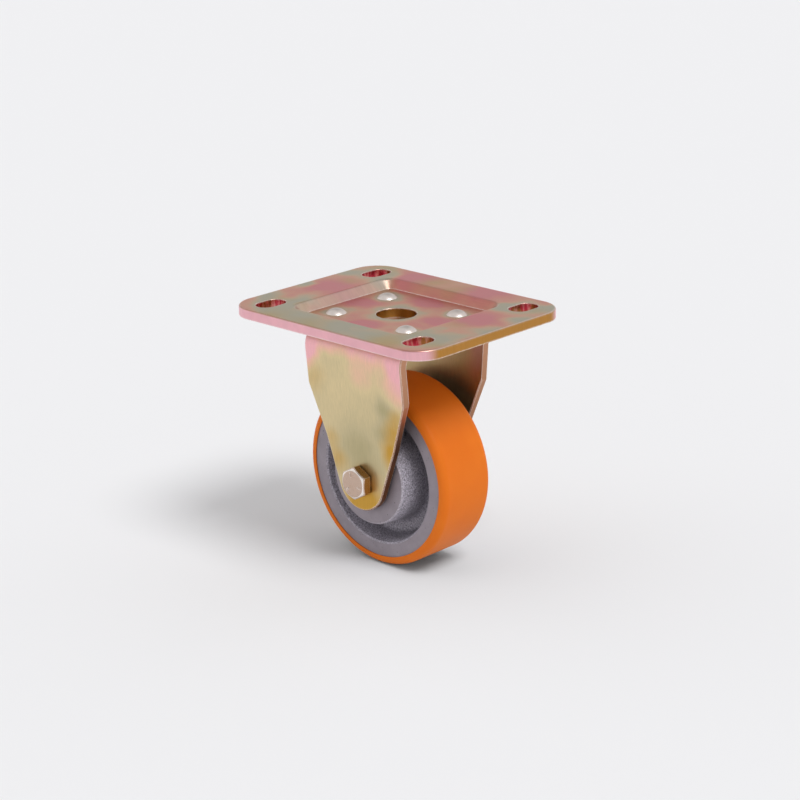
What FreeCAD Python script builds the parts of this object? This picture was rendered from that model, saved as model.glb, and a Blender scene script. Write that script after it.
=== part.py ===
"""Fixed castor: pressed top plate, riveted sheet fork, iron wheel with a bonded tread on two ball bearings.

Frame: origin in the middle of the plate's top face, +Z up, X along the axle, Y along the travel.
All sizes are in millimetres. The bolt head is on the -X side.
"""
import FreeCAD
import Part
import math
import os
import Sketcher
from FreeCAD import Vector

# Driving dimensions: name, value or formula in the other names, what it is
DIMENSIONS = [
    ("slot_to_panel", 8.6, "middle of a slot from the mouth of the panel, along the travel"),
    ("slot_inset", 12.5, "middle of a slot from the plate's edges"),
    ("plate_margin", 16.0, "plate past the fork's side at the bridge"),
    ("plate_length", "=panel_length + 2 * (panel_run + slot_to_panel + slot_inset)", "plate along travel"),
    ("plate_width", "=fork_top_width + 2 * plate_margin", "plate along the axle"),
    ("plate_thickness", 4.0, "sheet of the top plate"),
    ("plate_corner", 12.0, "corner radius of the top plate"),
    ("plate_edge", 0.8, "rounding of the plate's upper edge"),
    ("punch_edge", 0.3, "rolled edge where slots and holes are punched through the plate"),
    ("slot_spacing_across", "=plate_width - 2 * slot_inset", "slot pattern along the axle"),
    ("slot_spacing_along", "=plate_length - 2 * slot_inset", "slot pattern along the travel"),
    ("slot_width", 8.5, "width of a fixing slot"),
    ("slot_length", 13.5, "end to end length of a fixing slot"),
    ("panel_depth", 3.4, "how deep the middle panel is pressed down"),
    ("panel_end_margin", 2.0, "floor of the panel past the fork's end"),
    ("panel_side_inset", 1.0, "floor of the panel inside the fork's side"),
    ("panel_length", "=fork_length + 2 * panel_end_margin", "flat floor of the panel along the travel"),
    ("panel_width", "=fork_top_width - 2 * panel_side_inset", "flat floor of the panel along the axle"),
    ("panel_corner", 3.0, "corner radius of the panel's floor"),
    ("panel_run", 3.4, "horizontal run of the panel's sloping walls"),
    ("panel_lip", 1.6, "outer rounding where the sheet turns down to the panel"),
    ("centre_hole", 16.0, "diameter of the hole in the middle"),
    ("rivet_side_inset", 12.0, "middle of a rivet inside the fork's side"),
    ("rivet_end_inset", 7.0, "middle of a rivet inside the fork's end"),
    ("rivet_spacing_across", "=fork_top_width - 2 * rivet_side_inset", "rivets along the axle"),
    ("rivet_spacing_along", "=fork_length - 2 * rivet_end_inset", "rivets along the travel"),
    ("rivet_shank", 5.0, "diameter of a rivet's shank"),
    ("rivet_head", 8.2, "diameter of a rivet's head"),
    ("rivet_head_height", 1.9, "height of the domed head"),
    ("rivet_tail_height", 1.4, "height of the closed head below"),
    ("fork_sheet", 3.5, "sheet of the fork"),
    ("leg_lean_in", 4.25, "how far a leg leans in from the bridge to the axle"),
    ("hub_side_gap", 0.75, "clearance of a leg beside the hub"),
    ("fork_axle_width", "=hub_length + 2 * (hub_side_gap + fork_sheet)", "outside of the fork at the axle"),
    ("fork_top_width", "=fork_axle_width + 2 * leg_lean_in", "outside of the fork at the bridge"),
    ("fork_bend", 4.5, "inside radius of the bridge's bends"),
    ("crease_bend", 12.0, "radius on a leg's outer side where it turns parallel"),
    ("fork_length", 52.0, "fork along the travel"),
    ("fork_edge", 0.4, "broken edge round the fork's outer side"),
    ("crease_rise", 15.5, "above the axle, where the legs turn parallel"),
    ("leg_taper_drop", 31.0, "below the plate's top, where the legs start to taper"),
    ("leg_end_radius", 12.2, "radius of a leg's end round the axle"),
    ("axle_drop", 67.5, "axle below the plate's top"),
    ("bolt_diameter", 8.0, "axle bolt"),
    ("bolt_past_nut", 2.5, "end of the bolt past the nut"),
    ("bolt_length", "=fork_axle_width + nut_height + bolt_past_nut", "axle bolt under its head"),
    ("bolt_across_flats", 12.0, "hexagon of the head and the nut"),
    ("bolt_head_height", 4.8, "height of the head"),
    ("bolt_point", 1.0, "chamfer at the bolt's tip"),
    ("hex_land", 11.6, "round land left on a hexagon's face"),
    ("nut_height", 8.0, "whole height of the lock nut"),
    ("nut_hex_height", 5.8, "hexagon part of the lock nut"),
    ("nut_collar", 11.0, "diameter of the lock nut's round collar"),
    ("nut_wall", 1.0, "wall of the lock nut's collar"),
    ("nut_lip", 0.6, "how far the collar is turned in over the nylon ring"),
    ("sleeve_diameter", 10.0, "outside of the axle sleeve"),
    ("spacer_diameter", 13.2, "outside of the inner spacer and the end collars"),
    ("tube_chamfer", 0.25, "chamfers of the sleeve, spacer and collars"),
    ("bearing_outside", 22.0, "outer ring of a bearing"),
    ("bearing_width", 6.0, "width of a bearing"),
    ("bearing_pitch", 16.0, "circle through the balls' centres"),
    ("ring_chamfer", 0.3, "chamfers of the bearing rings"),
    ("ball_diameter", 3.175, "ball"),
    ("ball_count", 9.0, "balls in a bearing"),
    ("inner_shoulder", 13.8, "outside of an inner ring"),
    ("outer_shoulder", 18.4, "inside of an outer ring"),
    ("cage_sheet", 0.8, "wall of the cage"),
    ("cage_width", 4.0, "cage along the axle"),
    ("shield_sheet", 0.3, "sheet of a bearing shield"),
    ("shield_inset", 0.4, "shield below the bearing's face"),
    ("wheel_diameter", 75.0, "over the tread"),
    ("tread_width", 27.0, "tread along the axle"),
    ("tread_thickness", 3.5, "tread over the rim"),
    ("tread_edge", 2.9, "rounding of the tread's edges"),
    ("rim_width", 26.2, "iron rim along the axle"),
    ("rim_wall", 6.0, "iron rim at its face, radially"),
    ("rim_draft", 2.0, "how much thicker the rim is at the web"),
    ("web_thickness", 6.0, "web between rim and hub"),
    ("web_fillet", 2.6, "fillets at the web's foot"),
    ("hub_length", 36.0, "hub along the axle"),
    ("pocket_width", 9.0, "pocket between the rim and the hub at their faces"),
    ("hub_diameter", "=wheel_diameter - 2 * (tread_thickness + rim_wall + pocket_width)", "hub at its faces"),
    ("hub_draft", 1.6, "how much the hub grows towards the web, radially"),
    ("cast_edge", 0.6, "turned chamfers on the casting"),
    ("bearing_recess", 1.0, "bearing below the hub's face"),
    ("bore_shoulder", 2.0, "height of the shoulder that a bearing sits against"),
    ("running_gap", 0.06, "radial clearance of the balls in their grooves"),
    ("slip_gap", 0.03, "radial clearance of a ring on the sleeve or in the hub"),
    ("hole_gap", 0.2, "radial clearance of the bolt and the rivets in their holes"),
    ("shield_gap", 0.25, "radial clearance of a shield round the inner ring"),
    ("tool_margin", 5.0, "how far the shape of a cut reaches past the piece"),
]

AXLE_LEVEL = "-Sizes.axle_drop"
PANEL_FLOOR = "-Sizes.panel_depth"
BRIDGE_TOP = "-(Sizes.plate_thickness + Sizes.panel_depth)"
BRIDGE_BOTTOM = "-(Sizes.plate_thickness + Sizes.panel_depth + Sizes.fork_sheet)"
LEG_FACE = "Sizes.fork_axle_width / 2"
LEG_INSIDE = "(Sizes.fork_axle_width / 2 - Sizes.fork_sheet)"
BEARING_FACE = "(Sizes.hub_length / 2 - Sizes.bearing_recess)"
BEARING_BACK = "(Sizes.hub_length / 2 - Sizes.bearing_recess - Sizes.bearing_width)"
BEARING_MIDDLE = "(Sizes.hub_length / 2 - Sizes.bearing_recess - Sizes.bearing_width / 2)"
LEFT_AND_RIGHT = (("left", -1), ("right", 1))
NEAR = 1e-6

doc = FreeCAD.newDocument("FixedCastor")
sheet = doc.addObject("Spreadsheet::Sheet", "Sizes")
nodes = []


def fill_sheet():
    """Put each driving dimension in a row of the sheet and name its cell."""
    for row, (alias, _, meaning) in enumerate(DIMENSIONS, start=1):
        sheet.set(f"A{row}", meaning)
        sheet.setAlias(f"B{row}", alias)
    for row, (_, value, _) in enumerate(DIMENSIONS, start=1):
        sheet.set(f"B{row}", str(value))
    doc.recompute()


def amount(expression):
    """Give the present value of an expression in the sheet's names."""
    value = sheet.evalExpression(expression)
    return getattr(value, "Value", value)


def keep(piece, name):
    """Name a finished piece and list it as a node of the castor."""
    piece.Label = name
    nodes.append(piece)
    return piece


def new_body(name):
    """Start a body for the piece of that name."""
    return keep(doc.addObject("PartDesign::Body", f"{name}_body"), name)


def put_on_axle(piece, along="0"):
    """Place a piece that is drawn about X at a distance along the axle."""
    piece.setExpression(".Placement.Base.x", along)
    piece.setExpression(".Placement.Base.z", AXLE_LEVEL)


def new_sketch(body, name, role, offset=None):
    """Attach a sketch to one of the body's own origin planes, moved along its normal by offset."""
    sketch = body.newObject("Sketcher::SketchObject", name)
    planes = [item for item in body.Origin.OriginFeatures if item.Role == role]
    sketch.AttachmentSupport = (planes[0], [""])
    sketch.MapMode = "FlatFace"
    if offset:
        sketch.setExpression("AttachmentOffset.Base.z", offset)
    return sketch


def constrain(sketch, kind, *arguments, expression=None):
    """Add a constraint and bind it to an expression."""
    if expression is None:
        sketch.addConstraint(Sketcher.Constraint(kind, *arguments))
        return
    index = sketch.addConstraint(Sketcher.Constraint(kind, *arguments, amount(expression)))
    sketch.setExpression(f"Constraints[{index}]", expression)


def pin_point(sketch, geometry, end, across, up):
    """Hold one point of a sketch at two expressions from the sketch's origin."""
    for kind, axis, expression in (("DistanceX", -2, across), ("DistanceY", -1, up)):
        if expression == "0":
            constrain(sketch, "PointOnObject", geometry, end, axis)
        else:
            constrain(sketch, kind, -1, 1, geometry, end, expression=expression)


def draw_polygon(sketch, corners):
    """Draw a closed outline of straight lines through corners given as pairs of expressions."""
    points = [Vector(amount(across), amount(up), 0) for across, up in corners]
    count = len(points)
    lines = [sketch.addGeometry(Part.LineSegment(points[i], points[(i + 1) % count])) for i in range(count)]
    for i in range(count):
        constrain(sketch, "Coincident", lines[i], 2, lines[(i + 1) % count], 1)
    for line, (across, up) in zip(lines, corners):
        pin_point(sketch, line, 1, across, up)


def draw_bent(sketch, corners):
    """Draw a closed outline through corners given as (across, up, bend radius), with None for a sharp one."""
    points = [Vector(amount(across), amount(up), 0) for across, up, _ in corners]
    count = len(points)
    arcs, leaves, meets = {}, list(points), list(points)
    for i, (_, _, bend) in enumerate(corners):
        if bend:
            back = (points[i - 1] - points[i]).normalize()
            ahead = (points[(i + 1) % count] - points[i]).normalize()
            half_angle = back.getAngle(ahead) / 2
            inward = (back + ahead).normalize()
            radius = amount(bend)
            meets[i] = points[i] + back * (radius / math.tan(half_angle))
            leaves[i] = points[i] + ahead * (radius / math.tan(half_angle))
            crown = points[i] + inward * (radius / math.sin(half_angle) - radius)
            arcs[i] = sketch.addGeometry(Part.Arc(meets[i], crown, leaves[i]))
    lines = [sketch.addGeometry(Part.LineSegment(leaves[i], meets[(i + 1) % count])) for i in range(count)]
    for i, (across, up, bend) in enumerate(corners):
        if i not in arcs:
            constrain(sketch, "Coincident", lines[i - 1], 2, lines[i], 1)
            pin_point(sketch, lines[i], 1, across, up)
            continue
        first = 1 if sketch.getPoint(arcs[i], 1).distanceToPoint(meets[i]) < NEAR else 2
        constrain(sketch, "Tangent", lines[i - 1], 2, arcs[i], first)
        constrain(sketch, "Tangent", arcs[i], 3 - first, lines[i], 1)
        constrain(sketch, "Radius", arcs[i], expression=bend)
        corner = sketch.addGeometry(Part.Point(points[i]), True)
        pin_point(sketch, corner, 1, across, up)
        constrain(sketch, "PointOnObject", corner, 1, lines[i - 1])
        constrain(sketch, "PointOnObject", corner, 1, lines[i])


def draw_circle(sketch, across, up, radius):
    """Draw a circle whose centre and radius are expressions."""
    centre = Vector(amount(across), amount(up), 0)
    circle = sketch.addGeometry(Part.Circle(centre, Vector(0, 0, 1), amount(radius)))
    pin_point(sketch, circle, 3, across, up)
    constrain(sketch, "Radius", circle, expression=radius)


def draw_rounded(sketch, width, height, radius, across="0", up="0"):
    """Draw a rectangle with round corners about a middle point."""
    middle = Vector(amount(across), amount(up), 0)
    corner = amount(radius)
    half_width = amount(width) / 2 - corner
    half_height = amount(height) / 2 - corner
    arcs = []
    for quarter, (side, level) in enumerate(((1, 1), (-1, 1), (-1, -1), (1, -1))):
        centre = middle + Vector(side * half_width, level * half_height, 0)
        start = quarter * math.pi / 2
        circle = Part.Circle(centre, Vector(0, 0, 1), corner)
        arcs.append(sketch.addGeometry(Part.ArcOfCircle(circle, start, start + math.pi / 2)))
        side_of_centre = f"{across} + {side} * (({width}) / 2 - ({radius}))"
        level_of_centre = f"{up} + {level} * (({height}) / 2 - ({radius}))"
        constrain(sketch, "Radius", arcs[-1], expression=radius)
        constrain(sketch, "DistanceX", -1, 1, arcs[-1], 3, expression=side_of_centre)
        constrain(sketch, "DistanceY", -1, 1, arcs[-1], 3, expression=level_of_centre)
    join_arcs(sketch, arcs)


def draw_slot(sketch, length, width, across, up):
    """Draw a slot with round ends that runs across the sketch."""
    radius = f"({width}) / 2"
    reach = f"(({length}) - ({width})) / 2"
    arcs = []
    for side in (1, -1):
        centre_across = f"{across} + {side} * {reach}"
        centre = Vector(amount(centre_across), amount(up), 0)
        start = -side * math.pi / 2
        circle = Part.Circle(centre, Vector(0, 0, 1), amount(radius))
        arcs.append(sketch.addGeometry(Part.ArcOfCircle(circle, start, start + math.pi)))
        constrain(sketch, "Radius", arcs[-1], expression=radius)
        pin_point(sketch, arcs[-1], 3, centre_across, up)
    join_arcs(sketch, arcs)


def join_arcs(sketch, arcs):
    """Close a ring of arcs with lines that leave and meet them smoothly."""
    for first, second in zip(arcs, arcs[1:] + arcs[:1]):
        start = sketch.getPoint(first, 2)
        finish = sketch.getPoint(second, 1)
        line = sketch.addGeometry(Part.LineSegment(start, finish))
        constrain(sketch, "Tangent", first, 2, line, 1)
        constrain(sketch, "Tangent", line, 2, second, 1)


def pad(body, sketch, length, symmetric=False, reverse=False, taper=None):
    """Raise a solid from a sketch."""
    feature = body.newObject("PartDesign::Pad", f"{sketch.Name}_pad")
    feature.Profile = sketch
    feature.setExpression("Length", length)
    feature.Midplane = symmetric
    feature.Reversed = reverse
    if taper:
        feature.setExpression("TaperAngle", taper)
    return feature


def cut_through(body, sketch):
    """Cut a sketch through the whole body, both ways from its plane."""
    feature = body.newObject("PartDesign::Pocket", f"{sketch.Name}_cut")
    feature.Profile = sketch
    feature.Midplane = True
    feature.Type = "ThroughAll"
    return feature


def cut_down(body, sketch, length, reverse=False, taper=None):
    """Cut a sketch to a stated depth."""
    feature = body.newObject("PartDesign::Pocket", f"{sketch.Name}_cut")
    feature.Profile = sketch
    feature.setExpression("Length", length)
    feature.Reversed = reverse
    if taper:
        feature.setExpression("TaperAngle", taper)
    return feature


def turn(body, sketch, kind="PartDesign::Revolution"):
    """Turn a sketch round its own horizontal axis, as a solid or as a groove."""
    feature = body.newObject(kind, f"{sketch.Name}_turned")
    feature.Profile = sketch
    feature.ReferenceAxis = (sketch, ["H_Axis"])
    feature.Angle = 360
    return feature


def soften(body, size, choose, kind="Fillet"):
    """Round or chamfer the edges that choose accepts on the body as it stands."""
    doc.recompute()
    base = body.Tip
    names = [f"Edge{i}" for i, edge in enumerate(base.Shape.Edges, start=1) if choose(edge)]
    feature = body.newObject(f"PartDesign::{kind}", f"{body.Name}_soft_{len(body.Group)}")
    feature.Base = (base, names)
    feature.setExpression("Size" if kind == "Chamfer" else "Radius", size)
    doc.recompute()
    return feature


def lies_at(edge, level):
    """Tell whether both ends of an edge lie at a level."""
    return all(abs(vertex.Z - level) < NEAR for vertex in edge.Vertexes)


def turned_piece(name, corners, along="0"):
    """Make a piece turned about the axle from an outline of (along, radius) expressions."""
    body = new_body(name)
    sketch = new_sketch(body, f"{name}_section", "XZ_Plane")
    draw_polygon(sketch, corners)
    turn(body, sketch)
    put_on_axle(body, along)
    return body


def tube_corners(low, high, inside, outside, edge=None):
    """Outline of a plain tube between two stations, with its four edges broken by edge."""
    if edge is None:
        return [(low, inside), (high, inside), (high, outside), (low, outside)]
    return [
        (f"{low} + {edge}", inside),
        (f"{high} - {edge}", inside),
        (high, f"{inside} + {edge}"),
        (high, f"{outside} - {edge}"),
        (f"{high} - {edge}", outside),
        (f"{low} + {edge}", outside),
        (low, f"{outside} - {edge}"),
        (low, f"{inside} + {edge}"),
    ]


def make_top_plate():
    """Press the plate: a rounded slab whose middle is pushed down, with slots and a round hole."""
    wall_angle = "atan(Sizes.panel_run / Sizes.panel_depth)"
    wall_shift = "Sizes.plate_thickness * tan(atan(Sizes.panel_depth / Sizes.panel_run) / 2)"
    mouth_width = "(Sizes.panel_width + 2 * Sizes.panel_run)"
    mouth_length = "(Sizes.panel_length + 2 * Sizes.panel_run)"
    mouth_corner = "(Sizes.panel_corner + Sizes.panel_run)"
    body = new_body("top_plate")

    outline = new_sketch(body, "plate_outline", "XY_Plane")
    draw_rounded(outline, "Sizes.plate_width", "Sizes.plate_length", "Sizes.plate_corner")
    pad(body, outline, "Sizes.plate_thickness", reverse=True)

    underside = new_sketch(body, "panel_underside", "XY_Plane", "-Sizes.plate_thickness")
    draw_rounded(
        underside,
        f"{mouth_width} + 2 * {wall_shift}",
        f"{mouth_length} + 2 * {wall_shift}",
        f"{mouth_corner} + {wall_shift}",
    )
    pad(body, underside, "Sizes.panel_depth", reverse=True, taper=f"-{wall_angle}")

    mouth = new_sketch(body, "panel_mouth", "XY_Plane")
    draw_rounded(mouth, mouth_width, mouth_length, mouth_corner)
    cut_down(body, mouth, "Sizes.panel_depth", taper=f"-{wall_angle}")
    round_plate_edges(body, amount(mouth_width) / 2, amount(mouth_length) / 2)

    slots = new_sketch(body, "fixing_slots", "XY_Plane")
    for side in (-1, 1):
        for end in (-1, 1):
            draw_slot(
                slots,
                "Sizes.slot_length",
                "Sizes.slot_width",
                f"{side} * Sizes.slot_spacing_across / 2",
                f"{end} * Sizes.slot_spacing_along / 2",
            )
    cut_through(body, slots)

    holes = new_sketch(body, "panel_holes", "XY_Plane")
    draw_circle(holes, "0", "0", "Sizes.centre_hole / 2")
    for across, along in rivet_places():
        draw_circle(holes, across, along, "Sizes.rivet_shank / 2 + Sizes.hole_gap")
    cut_through(body, holes)

    slot_middle = amount("Sizes.slot_spacing_along / 2")
    slot_half = amount("Sizes.slot_width / 2") + NEAR

    def is_punched(edge):
        middle = edge.CenterOfMass
        at_slot = lies_at(edge, 0) and abs(abs(middle.y) - slot_middle) < slot_half
        at_centre = lies_at(edge, amount(PANEL_FLOOR)) and math.hypot(middle.x, middle.y) < NEAR
        return at_slot or at_centre

    soften(body, "Sizes.punch_edge", is_punched)
    return body


def round_plate_edges(body, half_width, half_length):
    """Round the plate's upper outline, and the sheet where it turns into the panel on both sides."""
    def is_outline(edge):
        middle = edge.CenterOfMass
        return lies_at(edge, 0) and (abs(middle.x) > half_width + NEAR or abs(middle.y) > half_length + NEAR)

    def is_panel_bend(edge):
        return lies_at(edge, amount(BRIDGE_TOP)) or lies_at(edge, 0) and not is_outline(edge)

    soften(body, "Sizes.panel_lip", is_panel_bend)
    soften(body, "Sizes.plate_edge", is_outline)


def rivet_places():
    """Places of the four rivets, as pairs of expressions."""
    return [
        (f"{side} * Sizes.rivet_spacing_across / 2", f"{end} * Sizes.rivet_spacing_along / 2")
        for side in (-1, 1)
        for end in (-1, 1)
    ]


def make_fork():
    """Bend the fork: a bridge with two legs that lean in, then stand parallel round the axle."""
    crease = f"({AXLE_LEVEL} + Sizes.crease_rise)"
    lean = f"atan(Sizes.leg_lean_in / ({BRIDGE_TOP} - {crease}))"
    leg_foot = "-(Sizes.axle_drop + Sizes.leg_end_radius + Sizes.tool_margin)"
    inner_crease = f"{crease} + Sizes.fork_sheet * tan({lean} / 2)"
    inner_top = f"(Sizes.fork_top_width / 2 - Sizes.fork_sheet * tan(45 deg + {lean} / 2))"
    body = new_body("fork")

    section = new_sketch(body, "fork_section", "XZ_Plane")
    bend = "Sizes.fork_bend"
    bend_outside = "Sizes.fork_bend + Sizes.fork_sheet"
    crease_bend = "Sizes.crease_bend"
    crease_inside = "Sizes.crease_bend + Sizes.fork_sheet"
    draw_bent(section, [
        (f"-{LEG_FACE}", leg_foot, None),
        (f"-{LEG_INSIDE}", leg_foot, None),
        (f"-{LEG_INSIDE}", inner_crease, crease_inside),
        (f"-{inner_top}", BRIDGE_BOTTOM, bend),
        (inner_top, BRIDGE_BOTTOM, bend),
        (LEG_INSIDE, inner_crease, crease_inside),
        (LEG_INSIDE, leg_foot, None),
        (LEG_FACE, leg_foot, None),
        (LEG_FACE, crease, crease_bend),
        ("Sizes.fork_top_width / 2", BRIDGE_TOP, bend_outside),
        ("-Sizes.fork_top_width / 2", BRIDGE_TOP, bend_outside),
        (f"-{LEG_FACE}", crease, crease_bend),
    ])
    pad(body, section, "Sizes.fork_length", symmetric=True)

    outline = new_sketch(body, "leg_outline", "YZ_Plane")
    draw_leg_outline(outline)
    trimmed = cut_through(body, outline)
    doc.recompute()
    rim = outer_rim(trimmed.Shape)
    soften(body, "Sizes.fork_edge", lambda edge: edge.hashCode() in rim, "Chamfer")

    holes = new_sketch(body, "bridge_holes", "XY_Plane")
    draw_circle(holes, "0", "0", "Sizes.centre_hole / 2")
    for across, along in rivet_places():
        draw_circle(holes, across, along, "Sizes.rivet_shank / 2 + Sizes.hole_gap")
    cut_through(body, holes)

    axle_holes = new_sketch(body, "axle_holes", "YZ_Plane")
    draw_circle(axle_holes, "0", AXLE_LEVEL, "Sizes.bolt_diameter / 2 + Sizes.hole_gap")
    cut_through(body, axle_holes)
    return body


def outer_rim(shape):
    """Find the edges round the bent sheet's outer side, which face away from the middle of the wheel."""
    inside = Vector(0, 0, amount(AXLE_LEVEL))
    counts = {}
    for face in shape.Faces:
        normal = face.normalAt(*face.Surface.parameter(face.CenterOfMass))
        if abs(normal.y) < NEAR and normal.dot(face.CenterOfMass - inside) > 0:
            for edge in face.Edges:
                counts[edge.hashCode()] = counts.get(edge.hashCode(), 0) + 1
    return {code for code, count in counts.items() if count == 1}


def draw_leg_outline(sketch):
    """Draw what is trimmed off the legs: a frame whose opening is the leg seen along the axle."""
    half = amount("Sizes.fork_length / 2")
    radius = amount("Sizes.leg_end_radius")
    axle = amount("Sizes.axle_drop")
    taper = amount("Sizes.leg_taper_drop")
    reach = math.hypot(half, axle - taper)
    lean = math.atan2(axle - taper, half) - math.acos(radius / reach)
    touch = Vector(radius * math.cos(lean), radius * math.sin(lean) - axle, 0)
    mirror = Vector(-touch.x, touch.y, 0)
    shoulders = (Vector(half, -taper, 0), Vector(-half, -taper, 0))
    tops = (Vector(half, 0, 0), Vector(-half, 0, 0))

    top = sketch.addGeometry(Part.LineSegment(tops[1], tops[0]))
    right = sketch.addGeometry(Part.LineSegment(tops[0], shoulders[0]))
    right_taper = sketch.addGeometry(Part.LineSegment(shoulders[0], touch))
    circle = Part.Circle(Vector(0, -axle, 0), Vector(0, 0, 1), radius)
    end = sketch.addGeometry(Part.ArcOfCircle(circle, math.pi - lean, 2 * math.pi + lean))
    left_taper = sketch.addGeometry(Part.LineSegment(mirror, shoulders[1]))
    left = sketch.addGeometry(Part.LineSegment(shoulders[1], tops[1]))
    constrain(sketch, "Coincident", top, 2, right, 1)
    constrain(sketch, "Coincident", right, 2, right_taper, 1)
    constrain(sketch, "Tangent", right_taper, 2, end, 2)
    constrain(sketch, "Tangent", end, 1, left_taper, 1)
    constrain(sketch, "Coincident", left_taper, 2, left, 1)
    constrain(sketch, "Coincident", left, 2, top, 1)
    pin_point(sketch, top, 1, "-Sizes.fork_length / 2", "0")
    pin_point(sketch, right, 1, "Sizes.fork_length / 2", "0")
    pin_point(sketch, right_taper, 1, "Sizes.fork_length / 2", "-Sizes.leg_taper_drop")
    pin_point(sketch, left, 1, "-Sizes.fork_length / 2", "-Sizes.leg_taper_drop")
    pin_point(sketch, end, 3, "0", AXLE_LEVEL)
    constrain(sketch, "Radius", end, expression="Sizes.leg_end_radius")

    side = "(Sizes.fork_length / 2 + Sizes.tool_margin)"
    foot = "-(Sizes.axle_drop + Sizes.leg_end_radius + 2 * Sizes.tool_margin)"
    draw_polygon(sketch, [
        (f"-{side}", "Sizes.tool_margin"),
        (side, "Sizes.tool_margin"),
        (side, foot),
        (f"-{side}", foot),
    ])


def make_rivets():
    """Close each rivet: a domed head on the panel, a shank through both sheets, a flat tail below."""
    ends = ("rear_left", "front_left", "rear_right", "front_right")
    dome = "(((Sizes.rivet_head / 2) ^ 2 + Sizes.rivet_head_height ^ 2) / 2 / Sizes.rivet_head_height)"
    for name, (across, along) in zip(ends, rivet_places()):
        body = new_body(f"rivet_{name}")
        shank = new_sketch(body, f"shank_{name}", "XY_Plane", PANEL_FLOOR)
        draw_circle(shank, "0", "0", "Sizes.rivet_shank / 2")
        pad(body, shank, "Sizes.plate_thickness + Sizes.fork_sheet", reverse=True)

        tail = new_sketch(body, f"tail_{name}", "XY_Plane", BRIDGE_BOTTOM)
        draw_circle(tail, "0", "0", "Sizes.rivet_head / 2")
        pad(body, tail, "Sizes.rivet_tail_height", reverse=True)

        head = new_sketch(body, f"head_{name}", "XZ_Plane")
        draw_dome(head, dome)
        feature = body.newObject("PartDesign::Revolution", f"dome_{name}")
        feature.Profile = head
        feature.ReferenceAxis = (head, ["V_Axis"])
        feature.Angle = 360
        body.setExpression(".Placement.Base.x", across)
        body.setExpression(".Placement.Base.y", along)


def draw_dome(sketch, dome):
    """Draw half of a domed head that stands on the panel's floor."""
    radius = amount(dome)
    foot = amount("Sizes.rivet_head / 2")
    floor = amount(PANEL_FLOOR)
    height = amount("Sizes.rivet_head_height")
    centre = Vector(0, floor + height - radius, 0)
    start = math.atan2(floor - centre.y, foot)
    circle = Part.Circle(centre, Vector(0, 0, 1), radius)
    arc = sketch.addGeometry(Part.ArcOfCircle(circle, start, math.pi / 2))
    axis = sketch.addGeometry(Part.LineSegment(Vector(0, floor + height, 0), Vector(0, floor, 0)))
    base = sketch.addGeometry(Part.LineSegment(Vector(0, floor, 0), Vector(foot, floor, 0)))
    constrain(sketch, "Coincident", arc, 2, axis, 1)
    constrain(sketch, "Coincident", axis, 2, base, 1)
    constrain(sketch, "Coincident", base, 2, arc, 1)
    pin_point(sketch, axis, 1, "0", f"{PANEL_FLOOR} + Sizes.rivet_head_height")
    pin_point(sketch, base, 1, "0", PANEL_FLOOR)
    pin_point(sketch, base, 2, "Sizes.rivet_head / 2", PANEL_FLOOR)
    constrain(sketch, "PointOnObject", arc, 3, -2)


def draw_hexagon(sketch, across_flats):
    """Draw a hexagon about the origin with a corner up."""
    corner = f"({across_flats}) / 2 / cos(30)"
    draw_polygon(sketch, [
        (f"{corner} * cos({60 * step + 30})", f"{corner} * sin({60 * step + 30})") for step in range(6)
    ])


def trim_hexagon(body, name, face, inward):
    """Turn the corners of a hexagon down to its flats at one face, at thirty degrees."""
    land = "Sizes.hex_land / 2"
    rim = f"({land} + Sizes.tool_margin)"
    clear_of_face = f"{face} - {inward} * Sizes.tool_margin"
    trim = new_sketch(body, f"{name}_trim", "XZ_Plane")
    draw_polygon(trim, [
        (face, land),
        (f"{face} + {inward} * Sizes.tool_margin * tan(30)", rim),
        (clear_of_face, rim),
        (clear_of_face, land),
    ])
    turn(body, trim, "PartDesign::Groove")


def make_axle_bolt():
    """Make the hexagon-head bolt that is the axle, its head against the left leg."""
    under_head = f"-{LEG_FACE}"
    head_face = f"-{LEG_FACE} - Sizes.bolt_head_height"
    body = new_body("axle_bolt")
    head = new_sketch(body, "bolt_head", "YZ_Plane", under_head)
    draw_hexagon(head, "Sizes.bolt_across_flats")
    pad(body, head, "Sizes.bolt_head_height", reverse=True)
    trim_hexagon(body, "bolt_head", head_face, 1)
    shank = new_sketch(body, "bolt_shank", "XZ_Plane")
    tip = f"{under_head} + Sizes.bolt_length"
    inside_head = f"{under_head} - Sizes.bolt_head_height / 2"
    draw_polygon(shank, [
        (inside_head, "0"),
        (tip, "0"),
        (tip, "Sizes.bolt_diameter / 2 - Sizes.bolt_point"),
        (f"{tip} - Sizes.bolt_point", "Sizes.bolt_diameter / 2"),
        (inside_head, "Sizes.bolt_diameter / 2"),
    ])
    turn(body, shank)
    put_on_axle(body)
    return body


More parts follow.
